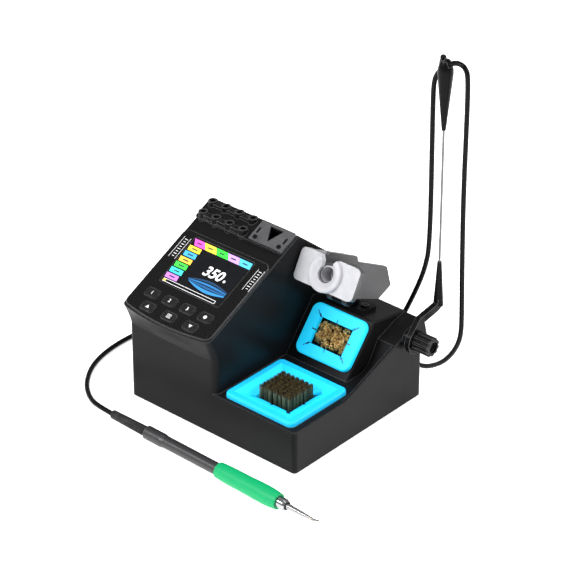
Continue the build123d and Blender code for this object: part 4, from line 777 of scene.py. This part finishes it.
# Each row ends with the head's radius and height and the shank's radius and length, in millimetres
for name, node, finish, out, count, sizes in (
    ("puller_plate_screws", "puller_screws", black_steel, panel_out, 2, (1.6, 0.6, 0.9, 5.9)),
    ("bracket_foot_screws", "bracket_screws", black_steel, shelf_out, 2, (2.8, 1.4, 1.5, 7.9)),
    ("base_plate_screws", "base_screws", steel, under, 4, (2.8, 1.4, 1.5, 7.6)),
):
    tops = head_places(node, out, count)
    screws = cross_screws(name, finish, tops, out, *[part * mm for part in sizes])
    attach(screws, "root")
    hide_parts(node)


# %% [markdown]
# The display is drawn as thin shapes on the lens, each with its colour on its faces, so one glowing
# material serves them all. The coloured tabs are left blank apart from a dash, and the reading is a
# plain number. An image would be simpler, but it would blur close up and has no place in a part
# that is made by rules alone.

# %% Printed shapes
class Print:
    """Thin shapes on a flat face, gathered into one mesh with a colour on every face."""

    def __init__(self, middle, up, out):
        self.mesh = bmesh.new()
        self.ink = self.mesh.loops.layers.float_color.new("ink")
        self.out = out
        self.up = up
        self.across = up.cross(out)
        self.middle = middle

    def spot(self, across, up, lift):
        """A place on the face, in millimetres from its middle."""
        return self.middle + (self.across * across + self.up * up + self.out * lift) * mm

    def shape(self, outline, colour, high=0.03, low=-0.02):
        """A flat closed plate with this anticlockwise outline, between two heights, in millimetres."""
        lower = [self.mesh.verts.new(self.spot(x, y, low)) for x, y in outline]
        upper = [self.mesh.verts.new(self.spot(x, y, high)) for x, y in outline]
        faces = [self.mesh.faces.new(upper), self.mesh.faces.new(list(reversed(lower)))]
        for step in range(len(outline)):
            after = (step + 1) % len(outline)
            faces.append(self.mesh.faces.new((lower[step], lower[after], upper[after], upper[step])))
        self.paint(faces, colour)

    def text(self, words, middle, height, colour, slant=0.0):
        """A plain number in Blender's own font, as a thin solid."""
        digit_share = 0.7
        thickness = 0.03
        boldness = 0.03
        curve = bpy.data.curves.new("number", "FONT")
        curve.body = words
        curve.align_x = "CENTER"
        curve.align_y = "CENTER"
        curve.size = height / digit_share
        curve.shear = slant
        curve.extrude = thickness
        curve.offset = boldness * height
        flat = curve_mesh(curve)
        corners = []
        for vertex in flat.vertices:
            x, y, lift = vertex.co
            corners.append(self.mesh.verts.new(self.spot(middle[0] + x, middle[1] + y, lift)))
        faces = []
        for polygon in flat.polygons:
            faces.append(self.mesh.faces.new([corners[corner] for corner in polygon.vertices]))
        bpy.data.meshes.remove(flat)
        self.paint(faces, colour)

    def paint(self, faces, colour):
        for face in faces:
            for loop in face.loops:
                loop[self.ink] = colour

    def piece(self, name, material, body, slot):
        """The finished mesh, riding on a body."""
        made = scene_object(name, self.mesh)
        made.data.materials.append(material)
        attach(made, body)


def bar(left, low, right, high, slant=0.0):
    """A rectangle whose top is shifted sideways by slant."""
    return [(left, low), (right, low), (right + slant, high), (left + slant, high)]


def disc(x, y, radius, points=20):
    """A round outline."""
    turns = [math.tau * step / points for step in range(points)]
    return [(x + radius * math.cos(turn), y + radius * math.sin(turn)) for turn in turns]


def strip(foot, head, width):
    """A straight strip between two points."""
    over = Vector((foot.y - head.y, head.x - foot.x)).normalized() * width / 2
    return [tuple(corner) for corner in (foot - over, head - over, head + over, foot + over)]


def printed_ink(name, glow):
    """Ink or lit pixels that take the colour of their own face."""
    finish = Finish(name, Emission_Strength=glow, Roughness=0.4)
    colour = finish.node("ShaderNodeAttribute", {"attribute_name": "ink"}, "Color")
    cloud = finish.noise(0.6 * mm, 2.0)
    shade = finish.blend(cloud * 0.25, colour, (0.02, 0.02, 0.03, 1.0))
    return finish.feed(Base_Color=shade, Emission_Color=shade, Roughness=cloud * 0.2 + 0.3)


panel_up = panel_out.cross(Vector((1.0, 0.0, 0.0)))
lit_pixels = printed_ink("lit_pixels", 0.75)
# White print for the keys and the legends, whose small glow is painted light; the same material carries
# the painted shade strips in the slits
white_ink = printed_ink("white_ink", 0.15)
paper_white = srgb(240, 240, 240)
dark_pixel = srgb(38, 34, 44)


# %% Display
def display_shapes():
    """Blank tabs along the top and the left, a reading, a swept band and a level bar."""
    screen = Print(face_centre("display_lens", panel_out), panel_up, panel_out)
    tab_low, tab_high, tab_gap = 13.8, 18.8, 0.15
    tab_feet = (-23.0, -13.2, -3.0, 7.2, 17.2, 26.3)
    tab_heads = (-26.2, -17.4, -6.8, 3.6, 14.0, 25.4)
    tab_colours = (
        srgb(238, 82, 200),
        srgb(238, 226, 62),
        srgb(52, 226, 62),
        srgb(196, 150, 242),
        srgb(72, 190, 236),
    )
    for step, colour in enumerate(tab_colours):
        left, right = tab_feet[step] + tab_gap, tab_feet[step + 1] - tab_gap
        head_left, head_right = tab_heads[step] + tab_gap, tab_heads[step + 1] - tab_gap
        outline = [(left, tab_low), (right, tab_low), (head_right, tab_high), (head_left, tab_high)]
        screen.shape(outline, colour)
        middle = (left + right + head_left + head_right) / 4
        screen.shape(bar(middle - 2.2, 15.8, middle + 2.2, 16.8, -0.5), dark_pixel, 0.05)
    left_tabs = (
        (11.0, srgb(240, 222, 60)),
        (6.1, srgb(64, 166, 240)),
        (1.1, srgb(240, 190, 70)),
        (-3.8, srgb(60, 222, 70)),
        (-8.8, srgb(60, 222, 220)),
        (-13.8, srgb(196, 122, 240)),
    )
    for middle, colour in left_tabs:
        screen.shape(bar(-25.2, middle - 2.0, -14.6, middle + 2.0, -0.8), colour)
        screen.shape(bar(-22.4, middle - 0.5, -17.6, middle + 0.5, -0.2), dark_pixel, 0.05)
    screen.text("350", (5.4, 0.2), 7.6, paper_white, 0.16)
    screen.shape(disc(16.4, -1.6, 1.0), paper_white)
    screen.shape(disc(16.4, -1.6, 0.5), dark_pixel, 0.05)
    band_steps = 18
    for top, foot, colour in (
        (0.0, 0.16, srgb(14, 54, 88)),
        (0.25, 0.42, srgb(32, 108, 166)),
        (0.5, 0.68, srgb(22, 82, 134)),
        (0.75, 1.0, srgb(42, 126, 186)),
    ):
        edges = []
        for share_down in (foot, top):
            edge = []
            for step in range(band_steps + 1):
                along = step / band_steps
                x = (1 - along) * (2.4 * share_down - 9.2) + along * 24.5
                rest = (1 - along) * (-9.4 - 2.1 * share_down) + along * (-8.1 - 4.2 * share_down)
                edge.append((x, rest + (3.2 - 6.2 * share_down) * math.sin(math.pi * along)))
            edges.append(edge)
        screen.shape(edges[0] + list(reversed(edges[1])), colour)
    left, right, low, high, line = -24.6, 21.6, -19.2, -16.7, 0.3
    screen.shape(bar(left, low, right, low + line), paper_white)
    screen.shape(bar(left, high - line, right, high), paper_white)
    screen.shape(bar(right - line, low, right, high), paper_white)
    screen.shape(bar(left, low + 0.5, left + 2.4, high - 0.5), srgb(242, 206, 70))
    screen.piece("display_shapes", lit_pixels, "root", "display_module")


display_shapes()
print("display drawn")


# %% [markdown]
# The keys carry plain signs: numbers, a dot, triangles and a grid of squares. Each is a thin print that
# rides on its own key, so that it goes down with the press. At the sides of the display two framed
# rows of ticks stand where such a panel has a legend.

# %% Signs on the keys and the front plate
key_names = ("one", "two", "three", "set", "up", "menu", "down")


def key_signs():
    """One small print for each key."""
    signs = {}
    for key in key_names:
        signs[key] = Print(face_centre(f"key_{key}", panel_out), panel_up, panel_out)
    for key, number in (("one", "1"), ("two", "2"), ("three", "3")):
        signs[key].text(number, (0.0, 0.0), 2.5, paper_white)
    signs["set"].shape(disc(0.0, 0.0, 1.35, 28), paper_white)
    signs["up"].shape([(-1.5, -1.1), (1.5, -1.1), (0.0, 1.3)], paper_white)
    signs["down"].shape([(-1.5, 1.1), (0.0, -1.3), (1.5, 1.1)], paper_white)
    wide, tall, line = 1.4, 1.3, 0.3
    for x in (-1.6, 0.2):
        for y in (-1.5, 0.3):
            right, top = x + wide, y + tall
            signs["menu"].shape(bar(x, y, right, y + line), paper_white)
            signs["menu"].shape(bar(x, top - line, right, top), paper_white)
            signs["menu"].shape(bar(x, y + line, x + line, top - line), paper_white)
            signs["menu"].shape(bar(right - line, y + line, right, top - line), paper_white)
    for key, sign in signs.items():
        sign.piece(f"sign_{key}", white_ink, f"key_{key}_cap", "key_plastic")
    return len(signs)


def side_legends():
    """A framed row of ticks on each side of the display."""
    legend = Print(face_centre("display_lens", panel_out), panel_up, panel_out)
    low, high, line = -1.2, 17.2, 0.3
    first, pitch, thickness = 1.6, 2.1, 0.5
    for left, right in ((-34.2, -28.4), (31.8, 37.2)):
        for edge in (left, right - line):
            legend.shape(bar(edge, low, edge + line, high), paper_white)
        middle = (left + right) / 2
        for tick in range(8):
            tick_low = low + first + tick * pitch
            half = 1.3 if tick % 2 else 0.85
            legend.shape(bar(middle - half, tick_low, middle + half, tick_low + thickness), paper_white)
    legend.piece("side_legends", white_ink, "root", "fascia_plastic")


print("signs", key_signs())
side_legends()


# %% [markdown]
# Now the solids get their finishes. The case and the front plate are moulded in charcoal plastic with a
# fine spark-eroded grain. A plain dark colour would look like paper, so the tone drifts slowly,
# the grain goes into the normal, and faint rubbed marks change the gloss. Edges are painted pale,
# partly as wear from handling and partly as a painted highlight where they would catch the light:
# a Bevel node finds them, since it rounds the normal only there.

# %% Moulded plastics
# Pale colour for the edges: partly wear from handling, partly a painted highlight
rubbed_and_highlit_edge = srgb(112, 112, 114)


def moulded(name, dark, pale, gloss, grain, depth, edge_wear_and_highlight=0.6, **fixed):
    """Moulded plastic: a fine grain, a slow drift of tone, rubbed marks, and pale edges that are partly
    wear and partly painted highlight.
    """
    finish = Finish(name, **fixed)
    tone = finish.noise(28 * mm, 3.0)
    fine = finish.noise(grain, 2.0)
    marks = finish.noise(3 * mm, 5.0, (1.0, 1.0, 0.25))
    # Painted highlight and wear: the edges turn pale
    edge = finish.edges(0.8 * mm)
    body = finish.blend(tone * 0.5 + fine * 0.5, dark, pale)
    return finish.feed(
        Base_Color=finish.blend(edge * (marks + 0.5) * edge_wear_and_highlight, body, rubbed_and_highlit_edge),
        Roughness=(fine - 0.5) * 0.16 + finish.step(marks, 0.5, 0.8) * -0.03 + gloss,
        Normal=finish.bump(fine, 0.35, depth),
    )


dull = {"Specular_IOR_Level": 0.075}
charcoal = moulded(
    "charcoal_case", srgb(15, 15, 16), srgb(25, 25, 26), 0.34, 0.45 * mm, 0.06 * mm, **dull
)
dress(charcoal, "upper_housing", "base_plate", "tip_tray")
satin = {"Specular_IOR_Level": 0.24}
front_black = moulded(
    "front_plate", srgb(6, 6, 7), srgb(13, 13, 14), 0.27, 0.6 * mm, 0.01 * mm, **satin
)
dress(front_black, "fascia")
key_black = moulded("key_caps", srgb(7, 7, 8), srgb(15, 15, 16), 0.27, 0.3 * mm, 0.02 * mm, 0.07)
dress(key_black, *[f"key_{key}" for key in key_names])
gloss_black = moulded("gloss_black", srgb(9, 9, 10), srgb(17, 17, 18), 0.24, 0.8 * mm, 0.02 * mm, **dull)
dress(gloss_black, "arm_boss", "arm_lower", "arm_clip", "arm_knob")
fitting_black = moulded(
    "fitting_black", srgb(11, 11, 12), srgb(20, 20, 21), 0.4, 0.4 * mm, 0.03 * mm, **dull
)
dress(fitting_black, "power_inlet", "switch_frame", "power_rocker", "handle_socket")
handle_grey = moulded("handle_grey", srgb(30, 30, 32), srgb(44, 44, 46), 0.4, 0.35 * mm, 0.04 * mm)
dress(handle_grey, "handle_tube")
soft_black = rubber("soft_black", (0.008, 0.008, 0.009, 1.0), 0.5)
dress(soft_black, "rubber_feet")
tail_rubber = rubber("tail_rubber", (0.018, 0.018, 0.019, 1.0), 0.4)
dress(tail_rubber, "plug_boot")
print("plastics done")


# %% [markdown]
# The inserts and the grip are silicone: bright, satin and slightly see-through at the edges. Fixed
# subsurface scattering gives the see-through edges. A little glow of their own colour is painted
# light that brightens them where the lamps leave them dim, and the frames that lean away from the
# lamps get a brighter copy of the blue. The noise adds the dust that silicone gathers.

# %% Silicone
def silicone(name, colour, dusty, glow):
    """Coloured silicone: even colour, soft gloss, a trace of dust, a pebbled skin and a glow of its own
    colour that is painted light.
    """
    finish = Finish(name, Subsurface_Weight=0.1, Emission_Strength=glow, Specular_IOR_Level=0.25)
    finish.shader.inputs["Subsurface Scale"].default_value = 1.2 * mm
    finish.shader.inputs["Subsurface Radius"].default_value = colour[:3]
    dust = finish.noise(1.4 * mm, 6.0)
    patches = finish.noise(12 * mm, 2.0)
    skin = finish.noise(0.4 * mm, 2.0)
    mask = finish.step(dust, 0.6, 0.8) * 0.2 + patches * 0.1
    shade = finish.blend(mask, colour, dusty)
    # Painted light: the silicone glows in its own colour
    return finish.feed(
        Base_Color=shade,
        Emission_Color=shade,
        Roughness=patches * 0.12 + dust * 0.15 + 0.34,
        Normal=finish.bump(skin, 0.25, 0.05 * mm),
    )


# The last number is a glow that is painted light; the frame's brighter copy glows more, as painted light
# on pads that lean away from the lamps
blue = silicone("blue_silicone", srgb(14, 178, 230), srgb(80, 198, 232), 0.34)
blue_with_more_painted_light = silicone("blue_frame", srgb(22, 190, 232), srgb(80, 204, 232), 0.58)
dress(blue, "brush_pad")
dress(silicone("green_sleeve", srgb(3, 158, 96), srgb(36, 178, 124), 0.06), "handle_grip")
print("silicone done")


# %% [markdown]
# A soft frame stretches where it is plugged over its pocket, so its window stands wider than it was
# drawn. This piece is the frame's own solid again, with a wider window and slits cut by a Boolean.
# The old solid is then replaced, never changed.

# %% Wool frame
def add_box(shape, place, size):
    """A box round the origin of a place, which is a matrix, with its size in millimetres."""
    scale = Matrix.Diagonal([part * mm for part in size] + [1.0])
    bmesh.ops.create_cube(shape, size=1.0, matrix=place @ scale)


def merged_copy(name, node):
    """A new object with a solid's form, whose loose triangles are joined."""
    form = bmesh.new()
    form.from_mesh(solids[node].data)
    weld = 0.001 * mm
    bmesh.ops.remove_doubles(form, verts=form.verts, dist=weld)
    copy = scene_object(name, form)
    stored = copy.data.attributes.get("custom_normal")
    if stored:
        copy.data.attributes.remove(stored)
    return copy


def cut_away(piece, cuts, material):
    """Cuts the forms of a bmesh out of a piece by an exact Boolean, and leaves it a plain mesh."""
    cutter = scene_object("cutter", cuts)
    cut = piece.modifiers.new("cut", "BOOLEAN")
    cut.operation = "DIFFERENCE"
    cut.solver = "EXACT"
    cut.use_self = True
    cut.object = cutter
    piece.data = applied(piece)
    bpy.data.objects.remove(cutter)
    largest_rounded = 30 * mm * mm
    sharp = math.radians(32)
    for face in piece.data.polygons:
        face.use_smooth = face.area < largest_rounded
    piece.data.set_sharp_from_angle(angle=sharp)
    piece.data.materials.clear()
    piece.data.materials.append(material)
    print(piece.name, len(piece.data.polygons), "faces")
    return piece


def window_slits(width, height, length):
    """Slits outwards from the corners and the middles of a window, as pairs of foot and head."""
    slits = []
    for x in (-1, 0, 1):
        for y in (-1, 0, 1):
            if x or y:
                foot = Vector((x * width / 2, y * height / 2))
                reach = length if x and y else length / 2
                slits.append((foot, foot + Vector((x, y)).normalized() * reach))
    return slits


def wool_frame(window, slits, slit_width):
    """The wool pad's form with a wider window and slits, in millimetres."""
    frame_piece = merged_copy("wool_frame", "wool_pad")
    through = 12.0
    leaning = Matrix.Translation(wool_face) @ Matrix.Rotation(wool_slope, 4, "X")
    cuts = bmesh.new()
    add_box(cuts, leaning, (*window, through))
    for foot, head in slits:
        way = head - foot
        turn = Matrix.Rotation(math.atan2(way.y, way.x), 4, "Z")
        place = leaning @ Matrix.Translation(Vector((*foot, 0.0)) * mm) @ turn
        add_box(cuts, place, (2 * way.length, slit_width, through))
    return cut_away(frame_piece, cuts, blue_with_more_painted_light)


def slit_shadows(slits, slit_width, low, high):
    """Painted shade: dark strips low in the slits, standing for the shade inside them."""
    shadows = Print(wool_face, wool_out.cross(Vector((1.0, 0.0, 0.0))), wool_out)
    for foot, head in slits:
        shadows.shape(strip(foot, head, slit_width), painted_slit_shade, high, low)
    shadows.piece("slit_shadows", white_ink, "wool_insert", "blue_silicone")


# The colour of the painted shade strips in the slits
painted_slit_shade = srgb(4, 40, 70)
window = (28.4, 19.0)
wool_slits = window_slits(*window, 5.0)
wool_slit_width = 0.8
pad = wool_frame(window, wool_slits, wool_slit_width)
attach(pad, "wool_insert")
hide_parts("wool_pad")
slit_shadows(wool_slits, wool_slit_width, 0.5, 2.9)


# %% [markdown]
# The tray's funnel ends high on the brush, and its lips open in slits at the corners and the middles.
# This shell lies on the tray's own funnel: four walls between two rectangles, with the slits cut
# through it by another Boolean.

# %% Brush funnel
def funnel_shell(rim, hole, rim_top, hole_top, hole_foot, slits):
    """A closed shell from a rim to a hole, with slits, in millimetres from the top of the tray."""
    shell = bmesh.new()
    loops = []
    for (width, deep), height in ((rim, rim_top), (hole, hole_top), (hole, hole_foot)):
        corners = ((-width, -deep), (width, -deep), (width, deep), (-width, deep))
        places = [tray_top + Vector((x / 2, y / 2, height)) * mm for x, y in corners]
        loops.append([shell.verts.new(place) for place in places])
    for upper, lower in ((0, 1), (1, 2), (2, 0)):
        for corner in range(4):
            after = (corner + 1) % 4
            ring = (loops[upper][corner], loops[upper][after], loops[lower][after], loops[lower][corner])
            shell.faces.new(ring)
    bmesh.ops.recalc_face_normals(shell, faces=shell.faces)
    funnel = scene_object("brush_funnel", shell)
    through = 40.0
    cuts = bmesh.new()
    for span, width, turn in slits:
        place = Matrix.Translation(tray_top) @ Matrix.Rotation(math.radians(turn), 4, "Z")
        add_box(cuts, place, (span, width, through))
    return cut_away(funnel, cuts, blue_with_more_painted_light)


def funnel_shadows(slits, low, high):
    """Painted shade: dark strips low in the slits of the funnel, in millimetres from the top of the tray.
    """
    shade_strips = Print(tray_top, Vector((0.0, 1.0, 0.0)), Vector((0.0, 0.0, 1.0)))
    first, gap = 0.36, 0.05
    for span, width, turn in slits:
        angle = math.radians(turn)
        for side in (-1, 1):
            way = Vector((math.cos(angle), math.sin(angle))) * side
            outline = strip(way * span * first, way * (span / 2 - gap), width)
            shade_strips.shape(outline, painted_slit_shade, high, low)
    shade_strips.piece("funnel_shadows", white_ink, "brush_insert", "blue_silicone")


tray_low, tray_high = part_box("brush_pad")
tray_top = Vector(((tray_low.x + tray_high.x) / 2, (tray_low.y + tray_high.y) / 2, tray_high.z))
# Each slit has its span, its width and its turn in degrees
brush_slits = ((46.4, 2.6, 45.0), (46.4, 2.6, -45.0), (35.4, 2.2, 0.0), (33.0, 2.2, 90.0))
funnel = funnel_shell((49.2, 47.2), (30.2, 27.2), -0.15, -4.4, -8.2, brush_slits)
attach(funnel, "brush_insert")
funnel_shadows(brush_slits, -9.0, -5.4)


# %% [markdown]
# Metals differ by their history. The pulling plate is brushed along its length, the rod is drawn,
# the collar is polished, and the tip has been hot: its plating goes from silver through a warm grey to
# a dull grey at the point. The holder is cast and painted, so its surface is slightly lumpy.

# %% Metals and paint
def brushed(name, dark, pale, gloss, stretch):
    """Brushed or drawn metal: fine lines along one direction."""
    finish = Finish(name, Metallic=1.0)
    lines = finish.noise(0.25 * mm, 3.0, stretch)
    stains = finish.noise(6 * mm, 3.0)
    return finish.feed(
        Base_Color=finish.blend(lines * 0.7 + stains * 0.3, dark, pale),
        Roughness=lines * 0.2 + stains * 0.08 + gloss,
        Normal=finish.bump(lines, 0.2, 0.03 * mm),
    )


def chrome(name, dark, pale):
    """Polished plating: an even mirror, slightly dulled by handling."""
    finish = Finish(name, Metallic=1.0)
    haze = finish.noise(2.5 * mm, 3.0)
    return finish.feed(Base_Color=finish.blend(haze, dark, pale), Roughness=haze * 0.1 + 0.1)


def painted_casting(name, dark, pale, gloss, lumps):
    """Paint on a casting: the lumps of the mould under an even coat, with small chips of tone."""
    finish = Finish(name, Coat_Roughness=0.25)
    mould = finish.noise(lumps, 3.0)
    fine = finish.noise(0.3 * mm, 2.0)
    rubbed = finish.step(finish.noise(5 * mm, 5.0), 0.5, 0.75)
    return finish.feed(
        Base_Color=finish.blend(mould * 0.5 + rubbed * 0.3, dark, pale),
        Roughness=fine * 0.12 + rubbed * 0.1 + gloss,
        Coat_Weight=rubbed * 0.2,
        Normal=finish.bump(mould * 0.6 + fine * 0.4, 0.2, 0.08 * mm),
    )


def hot_plating():
    """Plated tip: silver at the shaft, heat colours towards the point."""
    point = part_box("tip_cartridge")[1].x
    heated = 32 * mm
    finish = Finish("hot_plating", Metallic=1.0)
    share = finish.step(finish.along((1, 0, 0)), point - heated, point)
    soot = finish.noise(0.8 * mm, 4.0)
    shade = finish.ramp(
        share + (soot - 0.5) * 0.12,
        (0.0, srgb(168, 168, 171)),
        (0.6, srgb(156, 155, 155)),
        (0.85, srgb(140, 134, 126)),
        (1.0, srgb(92, 88, 88)),
    )
    return finish.feed(Base_Color=shade, Roughness=soot * 0.2 + 0.14)


for name, node, dark, pale, gloss, stretch in (
    ("pulling_plate", "tip_puller_plate", srgb(88, 88, 90), srgb(136, 136, 138), 0.32, (0.02, 1.0, 1.0)),
    ("drawn_rod", "arm_rod", srgb(84, 84, 86), srgb(132, 132, 134), 0.24, (1.0, 1.0, 0.02)),
    ("black_plating", "cable_plug", srgb(44, 44, 46), srgb(74, 74, 76), 0.3, (1.0, 0.05, 1.0)),
):
    dress(brushed(name, dark, pale, gloss, stretch), node)
dress(chrome("polished_collar", srgb(150, 150, 153), srgb(186, 186, 189)), "handle_collar")
dress(steel, "arm_screw")
dress(black_steel, "holder_pin")
dress(hot_plating(), "tip_cartridge")
white_silver = painted_casting("white_silver", srgb(174, 174, 178), srgb(200, 200, 204), 0.34, 6 * mm)
dress(white_silver, "holder_plate")
cast_grey = painted_casting("cast_grey", srgb(54, 54, 56), srgb(78, 78, 80), 0.34, 5 * mm)
# Near-black with barely any pale edge: the bracket's own black, darkened further as painted shade under
# the holder
bracket_paint = moulded(
    "bracket_paint", srgb(13, 13, 14), srgb(22, 22, 23), 0.5, 0.5 * mm, 0.01 * mm, 0.05, **dull
)
dress(bracket_paint, "holder_bracket")
print("metals done")


# %% [markdown]
# Some forms are easier to add here than to draw again. The holder's block is an open trough, whose far
# wall closes the view through the slot of the plate, so boxes are cut out of a copy of the solid.
# The tail of the iron, the liner of the bore and the mouth of the collar are turned, as a lathe would.

# %% Holder trough and turned pieces
holder_lean = math.radians(28.5)
holder_out = Vector((0.0, -math.cos(holder_lean), math.sin(holder_lean)))
holder_up = holder_out.cross(Vector((1.0, 0.0, 0.0)))
holder_face = Vector((4.0, 28.4, 100.2)) * mm


def holder_casting(*hollows):
    """The holder's block as an open trough. Hollows are (left, right, floor, front) in millimetres."""
    casting = merged_copy("holder_casting", "holder_body")
    turn = Matrix((Vector((1.0, 0.0, 0.0)), holder_up, holder_out)).transposed().to_4x4()
    tall, deep = 20.0, 60.0
    cuts = bmesh.new()
    for left, right, foot, front in hollows:
        middle = Vector(((left + right) / 2, foot + tall / 2, front - deep / 2)) * mm
        place = Matrix.Translation(holder_face) @ turn @ Matrix.Translation(middle)
        add_box(cuts, place, (right - left, tall, deep))
    return cut_away(casting, cuts, cast_grey)


def lathe(name, start, way, profile, sides, hollow=False):
    """A closed turned form from (distance, radius) pairs along an axis, or a ring if it is hollow."""
    across = way.orthogonal().normalized()
    other = way.cross(across)
    rings = []
    for distance, radius in profile:
        rings.append(circle(start + way * distance * mm, across, other, radius * mm, sides))
    turned = swept(rings, hollow)
    bmesh.ops.recalc_face_normals(turned, faces=turned.faces)
    return scene_object(name, turned)


casting = holder_casting(
    (-30.0, -9.6, 11.4, -5.8), (-30.0, -6.9, 13.2, -1.4), (-7.0, 16.4, 6.6, -1.4),
)
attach(casting, "holder")
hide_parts("holder_body")
liner_profile = (
    (1.6, 5.1), (1.6, 5.7), (6.5, 5.7), (6.5, 5.15), (14.0, 5.15), (14.0, 2.9),
    (11.5, 2.9), (11.0, 3.1), (11.0, 3.9), (12.5, 3.9), (12.5, 5.1),
)
liner = lathe("bore_liner", holder_face, -holder_out, liner_profile, 40, True)
liner.data.materials.append(white_silver)
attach(liner, "holder")

iron_way = joint_axes["tip_pull"]
tail_profile = ((0.0, 2.4), (0.8, 3.0), (33.0, 3.5))
tail = lathe("iron_tail", iron_tail, iron_way, tail_profile, 32)
tail.data.materials.append(tail_rubber)
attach(tail, "root")
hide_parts("handle_tail")
mouth_profile = ((-0.6, 2.15), (-0.6, 3.0), (0.35, 2.95), (0.5, 2.8), (0.5, 2.15))
mouth = lathe("collar_mouth", face_centre("handle_collar", iron_way), iron_way, mouth_profile, 40, True)
mouth.data.materials.append(fitting_black)
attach(mouth, "root")
print("trough, liner, tail and mouth made")


# %% [markdown]
# The display's lens is dark glass with a faint smear, and behind it lie the panel and the boards, which
# show only through gaps. They get a simple lacquer and copper pattern all the same, because a
# hidden side may be looked at when the case is opened.

# %% Glass and boards
def dark_glass():
    """Black display glass: deep and glossy, with a smear of fingerprints in its gloss."""
    finish = Finish("display_glass", Coat_Roughness=0.05, Specular_IOR_Level=0.2)
    smear = finish.noise(7 * mm, 4.0, (1.0, 0.6, 1.0))
    return finish.feed(
        Base_Color=finish.blend(smear, (0.003, 0.003, 0.004, 1.0), (0.007, 0.008, 0.010, 1.0)),
        Roughness=finish.step(smear, 0.4, 0.8) * 0.12 + 0.06,
        Coat_Weight=smear * 0.08,
    )


def circuit_board():
    """Green lacquer over copper lines, with pale solder at the places of parts."""
    finish = Finish("circuit_board")
    tracks = finish.step(finish.noise(1.6 * mm, 0.0, (1.0, 0.15, 1.0)), 0.48, 0.54)
    pads = finish.step(finish.noise(2.2 * mm, 0.0), 0.68, 0.72)
    green = finish.blend(tracks, srgb(16, 72, 40), srgb(34, 112, 62))
    return finish.feed(
        Base_Color=finish.blend(pads, green, srgb(186, 186, 182)),
        Roughness=tracks * 0.1 + 0.3,
        Normal=finish.bump(tracks, 0.2, 0.05 * mm),
    )


dress(dark_glass(), "display_lens")
module_black = moulded("display_module", srgb(18, 18, 20), srgb(30, 30, 32), 0.4, 0.5 * mm, 0.02 * mm)
dress(module_black, "lcd_module")
dress(circuit_board(), "key_board", "control_board", "power_supply")
replaced = {
    "cable",
    "brush_bristles",
    "brass_wool",
    "wool_pad",
    "puller_screws",
    "bracket_screws",
    "base_screws",
    "holder_body",
    "handle_tail",
}
print("solids without a finish", sorted(set(solids) - dressed - replaced))
